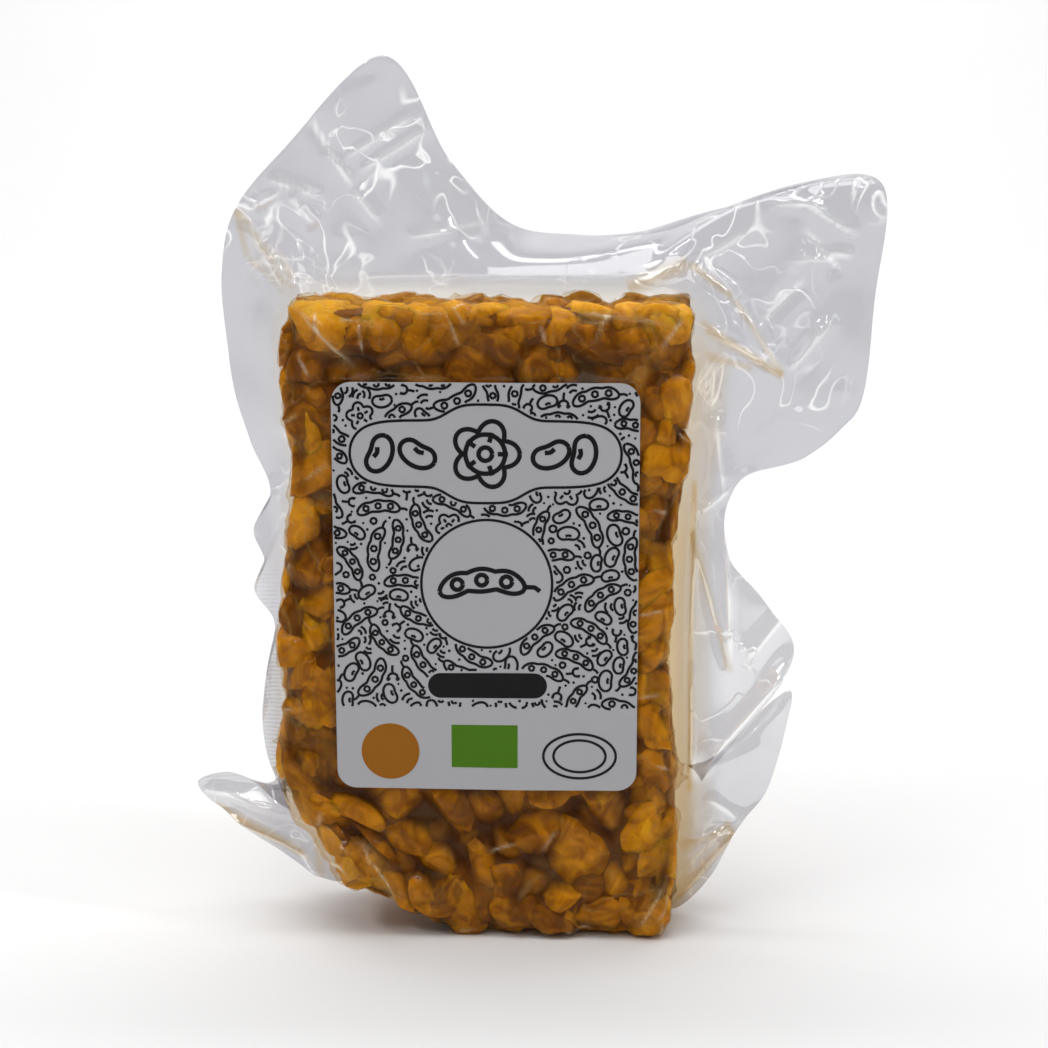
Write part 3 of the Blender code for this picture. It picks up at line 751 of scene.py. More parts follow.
fin = {
    # The run along the block's outline, clockwise from its lower left corner; the fin's outer edge
    # x, y, z; and how far the film bridges off the block before its two sheets meet
    "stations": (
        (-6, -31.0, -2.5, 10.5, 1.2), (0, -38.5, -2.5, 8.6, 1.5), (6, -54.5, -3.0, 19.5, 10.0),
        (12, -68.8, -4.0, 33.5, 22.0), (15, -63.0, -3.5, 35.5, 14.0), (19, -56.0, -2.5, 32.8, 7.0),
        (23, -48.0, -1.0, 25.6, 2.0), (28, -51.6, 0.5, 34.0, 1.8), (39, -53.8, 1.0, 43.0, 1.6),
        (57, -52.8, -1.0, 57.0, 1.6), (71, -50.8, 1.0, 71.5, 1.6), (79, -55.0, 0.0, 79.0, 1.6),
        (86, -52.2, -1.5, 86.0, 1.6), (93, -54.8, 0.0, 93.0, 1.6), (101, -50.8, 1.0, 101.0, 1.6),
        (113, -55.0, 0.0, 114.0, 1.6), (126, -59.0, -3.0, 134.0, 2.0), (133, -59.5, -5.0, 153.0, 4.0),
        (139, -56.0, -6.0, 167.0, 22.0), (145, -44.0, -5.5, 181.0, 6.0), (154, -24.0, -4.0, 200.0, 6.0),
        (166, -9.0, 4.0, 177.5, 6.0), (177, 3.0, 17.0, 163.5, 6.5), (190, 19.0, 31.0, 159.5, 7.0),
        (203, 41.0, 34.0, 160.5, 7.0), (213, 58.0, 23.0, 167.0, 7.0), (221, 88.0, 1.0, 171.5, 9.0),
        (226, 87.0, 3.0, 146.0, 14.0), (232, 84.4, 4.0, 121.5, 25.0), (235, 80.6, 4.0, 116.9, 16.0),
        (241, 73.0, 4.0, 110.5, 6.0), (252, 57.6, 2.0, 105.2, 8.0), (257, 54.8, 1.0, 100.5, 8.0),
        (270, 55.0, 0.0, 88.0, 6.0), (287, 63.5, -3.0, 77.5, 4.5), (299, 70.2, -5.0, 67.3, 4.5),
        (308, 67.5, -6.0, 60.0, 4.5), (318, 60.0, -5.0, 49.0, 4.0), (327, 52.5, -3.5, 38.5, 2.0),
        (333, 50.0, -1.0, 34.0, 1.6), (336, 53.0, 3.0, 37.0, 1.6), (340, 69.0, 5.0, 54.0, 4.0),
        (345, 69.5, 4.0, 45.0, 4.0), (349, 66.0, 3.0, 32.0, 5.0), (355, 60.0, 0.0, 24.0, 8.0),
        (358, 57.5, -2.0, 21.0, 20.0), (364, 53.0, 0.0, 11.0, 9.0), (370, 47.5, 1.0, 3.6, 3.0),
        (376, 43.2, 0.5, 1.3, 1.5), (382, 39.0, 0.0, 4.0, 1.2),
    ),
    "run": 372,              # at which the block's outline ends
    "steps": 690,            # along the fin, at an even pace
    "across": 70,
    "root": 3.0,             # how deep inside the block's outline the film starts
    "bend": 0.45,            # how far it keeps square to the block's side, as a share of its width
    "leastBridge": 1.2,      # of the film, off the block
    "meet": (0.15, 0.93),    # least and most share of the width at which the sheets meet
    "bridgeHalf": 14.0,      # half depth of the bridging film at the root
    "sag": 1.35,             # above 1, the bridging film hollows towards the block
    "half": 0.12,            # half the gap between the sheets past that
    "foot": (12.0, 1.0),     # heights at which the block's outline starts and ends
    "foldFoot": (49.5, 37.0),          # x and z where the S fold's layers gather at the block
    "wave": 0.5,             # height of the film's slow waves
    "calm": (1.0, 7.0),      # distances off the block over which waves and creases grow
    "crumples": 46,
    "crumpleLength": (6.0, 16.0),
    "crumpleHalf": (1.4, 3.6),
    "crumpleHeight": 0.8,
    "seed": 11,
    # Creases: x and z at each end, half width, height
    "creases": (
        (-45, 148, -55, 166, 2.8, 1.6), (-45, 149, -49, 160, 2.1, -1.0),
        (-49, 160, -56, 166, 2.1, -1.0), (-55, 166, -45, 171, 2.1, 1.2), (-45, 171, -38, 162, 2.8, 1.6),
        (-50, 174, -36, 169, 2.1, 1.0), (-36, 181, -30, 171, 2.1, 1.2), (-33, 177, -14, 189, 1.6, 1.1),
        (-30, 174, -11, 186, 1.6, 1.1), (-31, 172, -24, 163, 2.8, 1.2), (-40, 188, -33, 176, 2.8, -1.0),
        (-20, 160, 2, 164, 2.8, 1.0), (30, 150, 46, 155, 2.8, 2.0), (45, 155, 56, 147, 2.8, 2.4),
        (55, 148, 67, 129, 2.8, 2.6), (67, 129, 48, 141, 2.1, 1.8), (67, 129, 79, 144, 2.8, 2.0),
        (46, 155, 60, 163, 3.5, 1.0), (60, 140, 72, 152, 2.8, -1.2), (66, 155, 84, 157, 2.8, 1.6),
        (66, 171, 84, 160, 2.8, 1.4), (70, 163, 80, 152, 2.8, -1.4), (62, 168, 76, 168, 2.1, 1.2),
        (48, 133, 51, 121, 2.8, 1.6), (51, 123, 54, 101, 2.8, 2.4), (54, 103, 56, 59, 2.8, 2.6),
        (46, 95, 56, 59, 2.1, 1.6), (47, 97, 56, 104, 2.1, 1.4), (58, 62, 71, 79, 3.5, 1.6),
        (71, 66, 47, 34, 2.8, 2.4), (69, 54, 52, 40, 2.8, -1.4), (58, 22, 44, 4, 1.6, 1.4),
        (57, 23, 45, 14, 2.1, 1.2), (47, 106, 46.6, 62, 1.4, 1.6), (46.6, 64, 47, 30, 1.4, 1.6),
        (60, 23, 50, 30, 2.8, 1.0), (-64, 26, -42, 14, 2.1, 1.6), (-70, 32, -48, 27, 3.5, 1.6),
        (-44, 32, -40, 8, 2.1, 1.4), (-48, 20, -40, 8, 2.1, 1.4),
    ),
    "crestHalf": 0.85,       # half width of the painted highlight along a crease
    # Lines of trapped juice: x and z at each end, half width, strength
    "stains": (
        (-45, 148, -54, 156, 1.0, 0.5), (-54, 156, -56, 167, 1.0, 0.55), (-45, 150, -56, 167, 1.1, 0.5),
        (31, 149, 45, 155, 2.6, 0.5), (45, 155, 55, 147, 1.2, 0.6), (55, 147, 67, 129, 1.0, 0.5),
        (67, 129, 48, 141, 1.4, 0.8), (60, 131, 49, 134, 1.2, 0.5), (46, 95, 56, 60, 1.2, 0.4),
        (47, 106, 46.6, 62, 0.9, 0.7), (46.6, 64, 47, 30, 0.9, 0.7), (58, 22, 44, 4, 1.6, 0.9),
        (57, 23, 45, 14, 1.4, 0.7), (-66, 28, -44, 15, 1.4, 0.8), (-44, 32, -40, 8, 1.2, 0.5),
    ),
    "nearStain": (0.2, 4.5),           # strength of the juice by the block, and how far it spreads
    "sideStain": (0.24, 12.0, 7.0),    # in the bridge on the right: strength, and where it ends and fades
    "lowStain": (0.3, 6.5, 3.0),       # what is added below its middle
}


# The length along a line of points, at each of them
def lengthsAlong(line):
    return np.concatenate([[0], np.cumsum(np.linalg.norm(np.diff(line, axis=0), axis=1))])


# Rows of values read at other positions, on straight lines between the known ones
def readRows(at, known, rows):
    return np.stack([np.interp(at, known, column) for column in rows.T], axis=1)


# The block's outline at half its depth, and its outward direction, which is square to the line's own
# slope. Runs are scaled to the outline's length, and those past either end give the end itself
def blockOutline(runs):
    half, height = block["width"] / 2, block["height"]
    start, end = fin["foot"]
    corners = np.array([(-half, 0, start), (-half, 0, height), (half, 0, height), (half, 0, end)])
    path = readRows(np.linspace(0, 3, 3000), range(4), corners)
    line = warpBlock(roundBox((path - blockMiddle) / blockHalf, block["edgeRadius"])[0])
    along = np.gradient(line, axis=0)
    out = unitVectors(along[:, [2, 1, 0]] * [-1, 0, 1])
    lengths = lengthsAlong(line)
    at = runs / fin["run"] * lengths[-1]
    return readRows(at, lengths, line), readRows(at, lengths, out)


# The fin's two sheets. The surface between them leaves the block square to its side and bends to the
# outer edge on a parabola. The sheets stand apart from it by the bridging film's half depth, which
# falls as a power of the distance to nothing where they meet. Creases, crumples and two crossed sine
# waves then push both sheets the same way
def finSheets():
    rng = np.random.default_rng(fin["seed"])
    fine = np.linspace(fin["stations"][0][0], fin["stations"][-1][0], 4000)
    pace = lengthsAlong(curveThrough(fin["stations"], fine)[:, :3]) + fine - fine[0]
    runs = np.interp(np.linspace(0, pace[-1], fin["steps"]), pace, fine)
    stations = curveThrough(fin["stations"], runs)
    edge, bridge = stations[:, :3], np.maximum(stations[:, 3], fin["leastBridge"])
    outline, out = blockOutline(runs)
    root = outline - out * fin["root"]
    reach = np.linalg.norm(edge - root, axis=1)
    bend = root + out * (fin["bend"] * reach)[:, None]
    meet = np.clip((bridge + fin["root"]) / reach, *fin["meet"])[:, None]
    share = np.linspace(0, 1, fin["across"])[None, :]
    s = share[..., None]
    middle = (1 - s) ** 2 * root[:, None] + 2 * s * (1 - s) * bend[:, None] + s ** 2 * edge[:, None]
    normal = unitVectors(np.cross(np.gradient(middle, axis=1), np.gradient(middle, axis=0)))
    flat = middle[..., [0, 2]].reshape(-1, 2)
    count = fin["crumples"]
    centre = rng.uniform(flat.min(axis=0), flat.max(axis=0), (count, 2))
    turn = rng.uniform(0, math.pi, count)
    length = rng.uniform(*fin["crumpleLength"], (count, 1))
    half = length / 2 * np.stack([np.cos(turn), np.sin(turn)], axis=1)
    crumples = np.column_stack([
        centre - half, centre + half, rng.uniform(*fin["crumpleHalf"], count),
        rng.uniform(-fin["crumpleHeight"], fin["crumpleHeight"], count),
    ])
    x, z = flat.T
    push = roofs(flat, fin["creases"]) + roofs(flat, crumples)
    push += fin["wave"] * np.sin(x / 4.1 + 0.6 * np.sin(z / 7.0)) * np.sin(z / 5.3 + 1.0)
    beyond = share * reach[:, None] - fin["root"]
    push = push.reshape(beyond.shape) * smoothstep(*fin["calm"], beyond)
    spread = (fin["half"] + fin["bridgeHalf"] * np.clip(1 - share / meet, 0, 1) ** fin["sag"])[..., None]
    lift = push[..., None] * np.array([0, -1.0, 0])
    front, rear = middle + normal * spread + lift, middle - normal * spread + lift
    if front[..., 1].mean() > rear[..., 1].mean():
        front, rear = rear, front
    return front, rear, beyond


# Two grids of the same size, the second behind the first, as one closed body: both grids' quads and a
# strip of quads round the rim
def closedSheets(front, rear):
    rows, columns = front.shape[:2]
    faces = gridFaces(rows, columns)
    count = rows * columns
    number = np.arange(count).reshape(rows, columns)
    rim = np.concatenate([number[0], number[1:, -1], number[-1, -2::-1], number[-2:0:-1, 0]])
    after = np.roll(rim, -1)
    strip = np.stack([after, rim, rim + count, after + count], axis=1)
    return np.vstack([front.reshape(-1, 3), rear.reshape(-1, 3)]), np.vstack([
        faces, faces[:, ::-1] + count, strip,
    ])


# What the fin's film shows at each point, from its place and how far it lies beyond the block: juice,
# the seal, painted highlights along the crests of creases, and where it is loose or lies wet. Each is a
# product of smooth steps that fade it in and out, with lines drawn as roofs
def finLooks(points, beyond):
    flat = points[:, [0, 2]]
    x, z = flat.T
    # The layers that gather at the S fold's foot, with no juice between them
    fromFold = np.linalg.norm(flat - fin["foldFoot"], axis=1)
    gathered = smoothstep(5.5, 1.5, fromFold) * smoothstep(46.4, 48.0, x)
    (near, spread), (side, sideEnd, sideFade), (low, lowEnd, lowFade) = (
        fin[key] for key in ("nearStain", "sideStain", "lowStain")
    )
    # The bridge on the right, from near the top of the block down
    bridge = side * smoothstep(sideEnd, sideFade, beyond)
    bridge += low * smoothstep(lowEnd, lowFade, beyond) * smoothstep(112, 88, z)
    stain = roofs(flat, fin["stains"], soft=0.3, fade=0.05)
    stain += near * np.exp(-(beyond.clip(0) / spread) ** 2)
    stain += bridge * smoothstep(30, 40, x) * smoothstep(142, 132, z)
    # Painted highlights along the creases' crests
    crest = roofs(flat, glintRows(fin["creases"], fin["crestHalf"]), soft=0.2, fade=0.35)
    # The film is single, and so paler, in the lower lobes
    single = smoothstep(98, 74, z) * (0.42 - 0.14 * smoothstep(56, 42, z))
    crest += single * smoothstep(50, 56, np.abs(x))
    wet = smoothstep(3.5, 1.5, beyond) * smoothstep(45, 42, np.abs(x))
    return {
        "stain": np.clip(stain * (1 - 0.6 * gathered), 0, 1),
        "seal": smoothstep(100, 52, z) * smoothstep(30, 38, z) * smoothstep(-48, -50, x),
        "crest": np.clip(crest, 0, 1),
        "loose": smoothstep(0.5, 9.0, beyond),
        "wet": 0.6 * gathered + 0.5 * wet,
    }


# The label's front and back. Its rows crowd near the top and bottom as a sine, and each is as wide as
# the circles of its rounded corners allow
def labelSheets():
    corner = label["corner"]
    up = labelHalf[2] * np.sin(np.linspace(-1, 1, label["rows"]) * math.pi / 2)
    past = np.maximum(np.abs(up) - (labelHalf[2] - corner), 0)
    half = labelHalf[0] - corner + np.sqrt(np.maximum(corner ** 2 - past ** 2, 0))
    x = labelMiddle[0] + half[:, None] * np.linspace(-1, 1, label["columns"])
    z = np.broadcast_to((labelMiddle[2] + up)[:, None], x.shape)
    y = labelFace(x, z)
    return np.stack([x, y, z], axis=-1), np.stack([x, y + label["thickness"] - 0.05, z], axis=-1)


ink = {
    "line": 0.6,             # width of the pattern's and the frames' lines
    "heavy": 1.05,           # and of the motifs drawn inside the frames
    "lift": 0.03,            # how far ink stands on the paper
    "sunk": 0.05,            # and how far its underside lies in it
    "step": 0.55,            # between the points of a line
    "margin": 0.2,           # between the pattern and the label's rim
    "blankMargin": 0.55,     # and between it and the frames
    "gap": 0.1,              # least between motifs
    "stripTop": 55.4,        # the white strip along the foot of the label ends here
    # Places by x and z, then sizes as radii or half widths and half heights
    "cartouche": (0.0, 114.0, 30.0, 7.4),
    "cartoucheSwell": (3.6, 9.0),      # how far it swells at its middle, and over what width
    "roundel": (0.2, 84.6, 14.6),
    "pill": (0.3, 61.2, 13.4, 2.9),
    "disc": (-21.8, 45.6, 6.6),
    "box": (-0.4, 47.0, 7.5, 5.0),
    "oval": (21.1, 44.9, 8.2, 5.2),
    "inner": 0.72,           # size of the oval's inner line
    # Motifs in the frames: their sizes, and for the beans each one's x in the cartouche and its turn
    "blossom": 7.6,
    "blossomRing": 4.4,
    "beanSize": 4.2,
    "beans": ((-23.5, 1.2), (-15.0, -0.5), (14.5, 0.4), (21.5, 1.4)),
    "pod": 9.6,
    "seed": 23,
}


# A circle as a closed line round the origin
def ring(radius, count=40):
    turn = np.linspace(0, 2 * math.pi, count + 1)
    return np.stack([radius * np.cos(turn), radius * np.sin(turn)], axis=1)


# The matrix that turns rows of x and z by an angle
def turning(angle):
    return np.array([(math.cos(angle), math.sin(angle)), (-math.sin(angle), math.cos(angle))])


# A pod: two edges that bulge over each bean along a parabola, a stalk and a ring for each bean
def podStrokes(size, count=3):
    t = np.linspace(-1, 1, 16 * count + 1)
    bow = 0.22 * size * (1 - t ** 2)
    bulge = 0.78 + 0.22 * np.abs(np.cos(math.pi * count * t / 2))
    wide = size * 0.27 * np.sqrt(np.maximum(1 - t ** 6, 0)) * bulge
    strokes = [np.stack([size * t, bow + wide], axis=1), np.stack([size * t, bow - wide], axis=1)]
    strokes.append(np.array([(1, 0), (1.22, -0.02), (1.34, -0.12)]) * size)
    for k in range(count):
        place = (2 * k + 1 - count) / count * 0.86
        strokes.append(ring(0.13 * size, 18) + [size * place, 0.22 * size * (1 - place ** 2)])
    return strokes


# A blossom: a line whose radius swings five times round, a ring at its middle and five stamens
def blossomStrokes(size):
    turn = np.linspace(0, 2 * math.pi, 81)
    radius = size * (0.66 + 0.34 * np.abs(np.cos(2.5 * turn)))
    strokes = [np.stack([radius * np.cos(turn), radius * np.sin(turn)], axis=1), ring(0.2 * size, 16)]
    for k in range(5):
        strokes.append(np.array([(0.36, 0), (0.66, 0)]) @ turning(2 * math.pi * k / 5) * size)
    return strokes


# A bean seen from the side: an oval with a dent above its navel, and the navel as a bent line
def beanStrokes(size):
    turn = np.linspace(0, 2 * math.pi, 41)
    dent = 1 - 0.3 * np.exp(-((turn - math.pi / 2) / 0.55) ** 2)
    outline = np.stack([np.cos(turn), 0.68 * dent * np.sin(turn)], axis=1)
    return [outline * size, np.array([(-0.28, 0.2), (0.0, 0.1), (0.28, 0.2)]) * size]


# A sprout: a stem that parts in two arms, each a sine against a square and ending in a bud
def sproutStrokes(size):
    t = np.linspace(0, 1, 9)
    strokes = [np.array([(0.0, -1.0), (0.08, -0.4), (0.0, 0.1)]) * size]
    for side in (-1, 1):
        arm = np.stack([side * 0.62 * np.sin(t * math.pi / 2), 0.1 + 0.55 * t ** 2], axis=1) * size
        strokes += [arm, ring(0.2 * size, 12) + arm[-1] + [0.0, 0.2 * size]]
    return strokes


# Two short dashes side by side, each bent as a parabola
def dashStrokes(size):
    t = np.linspace(-0.5, 0.5, 6)
    return [np.stack([shift + 0.3 * (1 - 4 * t ** 2), 1.7 * t * reach], axis=1) * size
            for shift, reach in ((-0.5, 0.7), (0.35, 1.0))]


# Motifs: how each is drawn (the last is a dot), its size, how many places are tried, and the circles
# that keep it clear of others, as shares of its size: x, z and radius
motifs = (
    (podStrokes, (4.4, 5.2), 2500, (
        (-0.72, 0.08, 0.36), (0.0, 0.24, 0.42), (0.72, 0.08, 0.36), (1.2, 0.0, 0.12),
    )),
    (blossomStrokes, (3.0, 3.6), 2500, ((0.0, 0.0, 1.04),)),
    (beanStrokes, (1.9, 2.5), 5000, ((-0.4, -0.05, 0.62), (0.4, -0.05, 0.62))),
    (sproutStrokes, (1.4, 1.8), 5000, ((0.0, -0.6, 0.3), (0.0, 0.45, 0.8))),
    (dashStrokes, (1.1, 1.5), 6000, ((0.0, 0.3, 0.6), (0.0, -0.3, 0.6))),
    (lambda size: [ring(size, 16)], (0.6, 0.85), 6000, ((0.0, 0.0, 1.3),)),
    (None, (0.28, 0.36), 9000, ((0.0, 0.0, 1.8),)),
)


# Half the cartouche's height at a distance from its middle: a box rounded by an eighth power, with a
# swelling that falls as a fourth power
def cartoucheHalf(x, margin=0.0):
    wide, high = ink["cartouche"][2:]
    most, width = ink["cartoucheSwell"]
    across = np.clip(np.abs(x) / (wide + margin), 0, 1)
    return (high + most * np.exp(-(x / width) ** 4) + margin) * (1 - across ** 8) ** 0.5


# Inside the places left white in the pattern, with their frames: the cartouche, the roundel's circle,
# and the pill, as a distance from the line along its middle
def inBlanks(at, margin=0.0):
    (cx, cz), (rx, rz, radius), (px, pz, half, high) = ink["cartouche"][:2], ink["roundel"], ink["pill"]
    x, z = at.T
    return (
        (np.abs(z - cz) < cartoucheHalf(x - cx, margin))
        | (np.hypot(x - rx, z - rz) < radius + margin)
        | (np.hypot(np.maximum(np.abs(x - px) - half + high, 0), z - pz) < high + margin)
    )


# Inside the pattern's field: the label less its rim, above the white strip. How far a point lies in
# its rounded corners is its distance from the box that their middles make
def inField(at):
    corner = label["corner"]
    past = np.maximum(np.abs(at - labelMiddle[[0, 2]]) - labelHalf[[0, 2]] + corner, 0)
    inRim = np.hypot(*past.T) < corner - ink["margin"]
    return inRim & (at[:, 1] > ink["stripTop"] + ink["line"]) & ~inBlanks(at, ink["blankMargin"])


# Throws motifs on the field, large ones first, keeping those whose circles touch none laid before
def scatterMotifs():
    rng = np.random.default_rng(ink["seed"])
    low = np.array([labelLow[0], ink["stripTop"]])
    high = labelHigh[[0, 2]]
    circles = np.empty((0, 3))
    strokes, dots = [], []
    for draw, (least, most), tries, rounds in motifs:
        rounds = np.array(rounds)
        places = rng.uniform(low - 1, high + 1, (tries, 2))
        sizes = rng.uniform(least, most, tries)
        turns = rng.uniform(0, 2 * math.pi, tries)
        for place, size, angle in zip(places, sizes, turns):
            centres = place + size * rounds[:, :2] @ turning(angle)
            radii = size * rounds[:, 2]
            if inBlanks(centres).mean() > 0.4:
                continue
            apart = np.linalg.norm(circles[None, :, :2] - centres[:, None], axis=2)
            if (apart < circles[None, :, 2] + radii[:, None] + ink["gap"]).any():
                continue
            circles = np.vstack([circles, np.column_stack([centres, radii])])
            if draw:
                strokes += [place + stroke @ turning(angle) for stroke in draw(size)]
            else:
                dots.append((place, size))
    return strokes, dots


# Points of x and z put on the label's face, raised by the given heights
def onLabel(at, rise):
    return np.stack([at[:, 0], labelFace(*at.T) - rise, at[:, 1]], axis=1)


# A line of ink: a low closed bar whose corners lie to each side of its path by half its width
def inkBar(path, width):
    along = np.gradient(path, axis=0)
    side = unitVectors(np.stack([-along[:, 1], along[:, 0]], axis=1)) * width / 2
    corners = ((-1, -ink["sunk"]), (-1, ink["lift"]), (1, ink["lift"]), (1, -ink["sunk"]))
    points = np.stack([onLabel(path + out * side, rise) for out, rise in corners], axis=1).reshape(-1, 3)
    last = 4 * (len(path) - 1)
    ends = [[3, 2, 1, 0], [last, last + 1, last + 2, last + 3]]
    return points, halves(np.vstack([gridFaces(len(path), 4, wrapColumns=True), ends]))


# Bars along strokes read at even steps, cut where they leave the field
def inkBars(strokes, width, inside=None):
    bars = []
    for stroke in strokes:
        lengths = lengthsAlong(stroke)
        steps = max(round(lengths[-1] / ink["step"]), 2)
        path = readRows(np.linspace(0, lengths[-1], steps + 1), lengths, stroke)
        keep = inside(path) if inside else np.ones(len(path), bool)
        cuts = np.flatnonzero(np.diff(np.concatenate([[0], keep, [0]])))
        bars += [inkBar(path[a:b], width) for a, b in zip(cuts[::2], cuts[1::2]) if b - a > 1]
    return bars


# A filled shape: rings that shrink from an outline round the origin to its middle, on the label's
# face, closed below by a fan sunk into the paper
def inkFill(outline, x, z, rings=5):
    outline = outline[:-1]
    count = len(outline)
    shares = np.linspace(1, 0, rings, endpoint=False)
    at = np.vstack([outline * share for share in shares] + [[(0, 0)], outline, [(0, 0)]]) + [x, z]
    points = onLabel(at, np.where(np.arange(len(at)) <= rings * count, ink["lift"], -ink["sunk"]))
    i = np.arange(count)
    j = (i + 1) % count
    top, foot = rings * count, rings * count + 1
    return points, np.vstack([
        halves(gridFaces(rings, count, wrapColumns=True)),
        np.stack([top - count + i, top - count + j, np.full(count, top)], axis=1),
        np.stack([foot + i, j, i], axis=1), np.stack([foot + i, foot + j, j], axis=1),
        np.stack([foot + j, foot + i, np.full(count, foot + count)], axis=1),
    ])


# Meshes as one, each one's faces numbered after the points before it
def joined(parts):
    points, faces = zip(*parts)
    starts = np.cumsum([0] + [len(part) for part in points[:-1]])
    return np.vstack(points), np.vstack([part + start for part, start in zip(faces, starts)])


# All that is printed in black: the pattern, the frames, the motifs in them, the pill and the dots
def blackShapes():
    (cx, cz, wide, _), (rx, rz, radius) = ink["cartouche"], ink["roundel"]
    px, pz, half, high = ink["pill"]
    ox, oz, ovalWide, ovalHigh = ink["oval"]
    strokes, dots = scatterMotifs()
    x = wide * np.cos(np.linspace(0, math.pi, 90))
    upper = np.stack([x, cartoucheHalf(x)], axis=1)
    frames = [np.vstack([upper, (upper * [1, -1])[::-1][1:]]) + [cx, cz], ring(radius, 90) + [rx, rz]]
    frames += [ring(share, 60) * [ovalWide, ovalHigh] + [ox, oz] for share in (1.0, ink["inner"])]
    blossom = blossomStrokes(ink["blossom"]) + [ring(ink["blossomRing"])]
    drawn = [(stroke, cx, cz, 0.0) for stroke in blossom]
    for place, angle in ink["beans"]:
        drawn += [(stroke, cx + place, cz, angle) for stroke in beanStrokes(ink["beanSize"])]
    drawn += [(stroke, rx - 1.0, rz - 1.2, 0.06) for stroke in podStrokes(ink["pod"])]
    drawn = [stroke @ turning(angle) + [x, z] for stroke, x, z, angle in drawn]
    pill = ring(high, 64)
    pill[:, 0] += np.sign(np.cos(np.linspace(0, 2 * math.pi, 65))) * (half - high)
    spots = [inkFill(ring(size, 8), *place, 1) for place, size in dots if inField(place[None])[0]]
    return joined([
        *inkBars(strokes, ink["line"], inField), *inkBars(frames, ink["line"]),
        *inkBars(drawn, ink["heavy"]), inkFill(pill, px, pz), *spots,
    ])


# A plain disc
def discShape():
    x, z, radius = ink["disc"]
    return inkFill(ring(radius, 48), x, z)


# A box whose outline is read round its middle from a corner, so that its rings close like a disc's
def boxShape():
    x, z, wide, high = ink["box"]
    turn = np.linspace(0, 2 * math.pi, 97) + math.atan2(high, wide)
    reach = 1 / np.maximum(np.abs(np.cos(turn)) / wide, np.abs(np.sin(turn)) / high)
    return inkFill(np.stack([reach * np.cos(turn), reach * np.sin(turn)], axis=1), x, z)


print("laying beans")
laid = layBeans()
bean = beanMaterial()
for kind, (name, *_) in enumerate(beans["kinds"]):
    points, faces, looks = beanMeshes(laid, kind)
    makePiece(name, points, faces, bean, "beans", looks)
points, faces, looks = fillBetween(laid)
makePiece("tempehCore", points, faces, coreMaterial(), "beans", looks)

print("shrunk film")
points, faces, looks = wrapFilm(laid)
wetFilm = filmMaterial("shrunkVacuumFilm", "#F9F4EA", 0.008, 0.05, 0.075, isLoose=False)
shrunkFilm = makePiece("shrunkFilm", points, faces, wetFilm, "film", looks)

print("fin")
front, rear, beyond = finSheets()
points, faces = closedSheets(front, rear)
looks = finLooks(points, np.tile(beyond.ravel(), 2))
points[:, 2] = np.maximum(points[:, 2], 0.02)
looseFilm = filmMaterial("looseVacuumFilm", "#E2E2E5", 0.06, 0.25, 0.035, isLoose=True)
makePiece("pouchFin", points, faces, looseFilm, "film", looks)
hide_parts("pouch")

print("label")
# The paper's grey is partly painted shade: it is darker than the white paper, as the block's front is dim
paper = paperMaterial("coatedPaper", "#B7B7BA", 0.45)
labelPaper = makePiece("labelPaper", *closedSheets(*labelSheets()), paper, "label_paper", sharp=True)
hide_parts("label")
for name, mesh, code in (
    ("blackInk", blackShapes(), "#101013"),
    ("orangeInk", discShape(), "#9E6108"),
    ("greenInk", boxShape(), "#4A7A0A"),
):
    makePiece(name, *mesh, paperMaterial(name + "Gloss", code, 0.35), "label_paper", sharp=True)

# The studio, in metres
stage = {
    "front": -2.5,           # y of the floor's front edge
    "bendStart": 0.9,        # where it starts to sweep up, and on what radius
    "bendRadius": 0.6,
    "top": 2.2,
    "half": 3.0,
    "world": 0.1,            # strength of the white world
    # Softboxes: place, aim, size and power
    "lights": {
        "overheadSoftbox": ((-0.15, -0.2, 1.2), (0, 0, 0.08), (1.2, 0.6), 7.6),
        "backdropSoftbox": ((0.0, 0.55, 1.5), (0, 1.5, 0.4), (2.4, 0.5), 23.0),
        "leftFill": ((-0.7, -0.9, 0.7), (0, 0, 0.1), (0.5, 0.35), 0.35),
        "rightFill": ((0.8, -0.7, 0.45), (0, 0, 0.1), (0.2, 0.5), 0.42),
        "leftStrip": ((-0.5, -0.45, 0.8), (0, 0, 0.12), (0.4, 0.012), 1.3),
        "rightStrip": ((0.7, -0.25, 0.7), (0, 0, 0.12), (0.012, 0.4), 1.3),
        "frontSpark": ((0.12, -0.85, 0.95), (0, 0, 0.1), (0.05, 0.05), 0.5),
    },
}
camera = {
    "target": (0.0085, -0.017, 0.0982),
    "azimuth": 2.0,
    "elevation": 11.0,
    "distance": 0.444,
    "lens": 68.7,
}


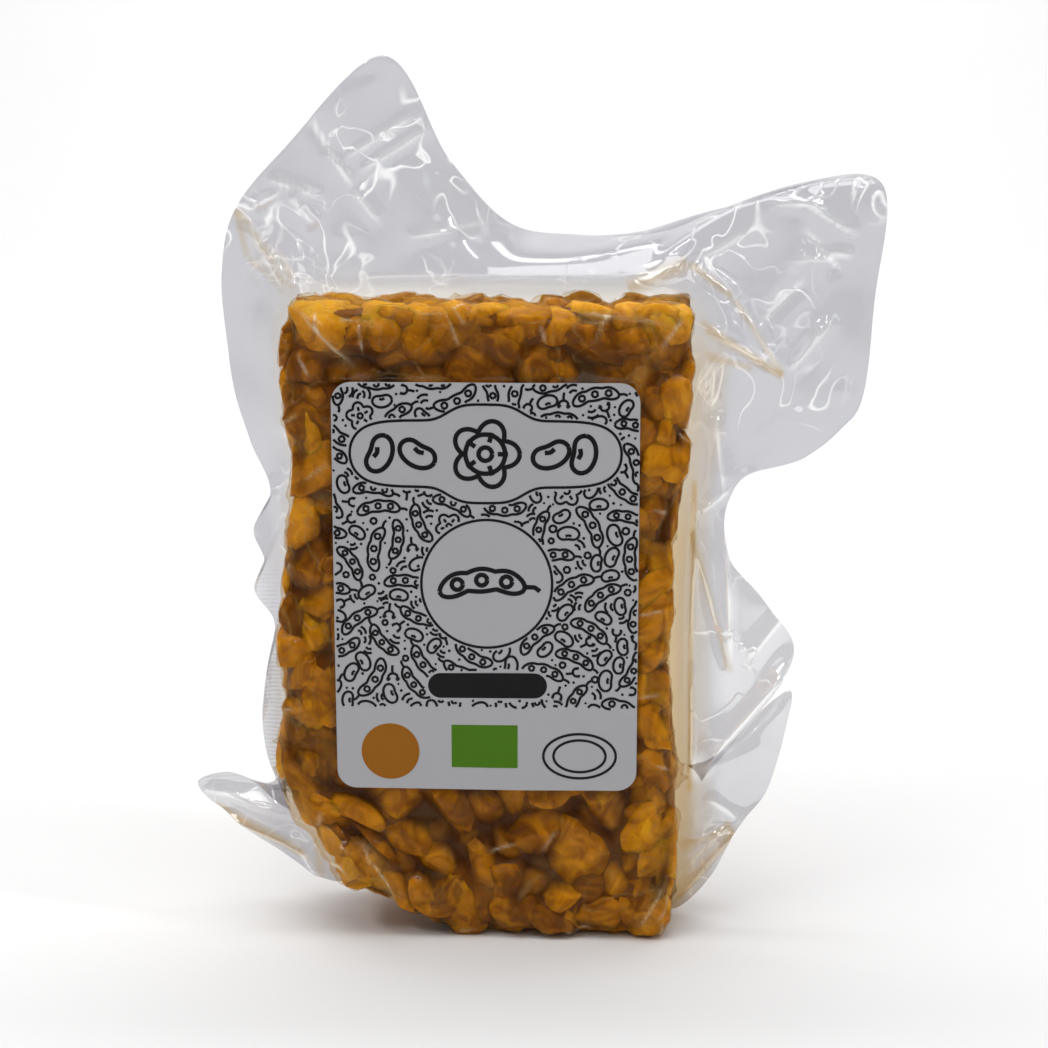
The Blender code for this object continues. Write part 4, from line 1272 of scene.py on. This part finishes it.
# The floor, which sweeps up behind: a profile of floor, quarter circle and wall, carried sideways
def makeStage():
    start, radius = stage["bendStart"], stage["bendRadius"]
    turn = np.linspace(0, math.pi / 2, 24)[1:]
    floor = np.linspace(-1.5, start, 12)
    y = np.concatenate([[stage["front"]], floor, start + radius * np.sin(turn), [start + radius]])
    z = np.concatenate([[0], 0 * floor, radius - radius * np.cos(turn), [stage["top"]]])
    x = np.linspace(-stage["half"], stage["half"], 9)
    grid = np.stack(np.broadcast_arrays(x[None, :], y[:, None], z[:, None]), axis=-1)
    mesh = bpy.data.meshes.new("floor")
    mesh.from_pydata(grid.reshape(-1, 3).tolist(), [], gridFaces(*grid.shape[:2]).tolist())
    mesh.shade_smooth()
    mesh.materials.append(paperMaterial("paleFloor", "#F0F0F0", 0.8))
    ground = bpy.data.objects.new("floor", mesh)
    bpy.context.scene.collection.objects.link(ground)


# Puts a light or the camera in the scene, its own -Z axis turned along a direction
def placeAlong(name, data, place, direction):
    thing = bpy.data.objects.new(name, data)
    thing.location = place
    thing.rotation_mode = "QUATERNION"
    thing.rotation_quaternion = direction.to_track_quat("-Z", "Y")
    bpy.context.scene.collection.objects.link(thing)
    return thing


# A soft rectangle of light that looks from its place to its aim
def addLight(name, place, aim, size, power):
    data = bpy.data.lights.new(name, "AREA")
    data.shape = "RECTANGLE"
    data.size, data.size_y = size
    data.energy = power
    placeAlong(name, data, place, Vector(aim) - Vector(place))


# The camera stands back from its target by a distance, turned round it by the azimuth and elevation
def addCamera():
    data = bpy.data.cameras.new("camera")
    data.lens = camera["lens"]
    data.sensor_width = 36.0
    data.clip_start, data.clip_end = 0.01, 20.0
    a, e = math.radians(camera["azimuth"]), math.radians(camera["elevation"])
    back = Vector((math.sin(a) * math.cos(e), -math.cos(a) * math.cos(e), math.sin(e)))
    place = Vector(camera["target"]) + back * camera["distance"]
    bpy.context.scene.camera = placeAlong("camera", data, place, -back)


print("stage")
makeStage()
for name, settings in stage["lights"].items():
    addLight(name, *settings)
world = bpy.data.worlds.new("studio")
world.use_nodes = True
background = world.node_tree.nodes["Background"]
background.inputs["Color"].default_value = (1, 1, 1, 1)
background.inputs["Strength"].default_value = stage["world"]
bpy.context.scene.world = world
bpy.context.scene.view_settings.view_transform = "Standard"
addCamera()
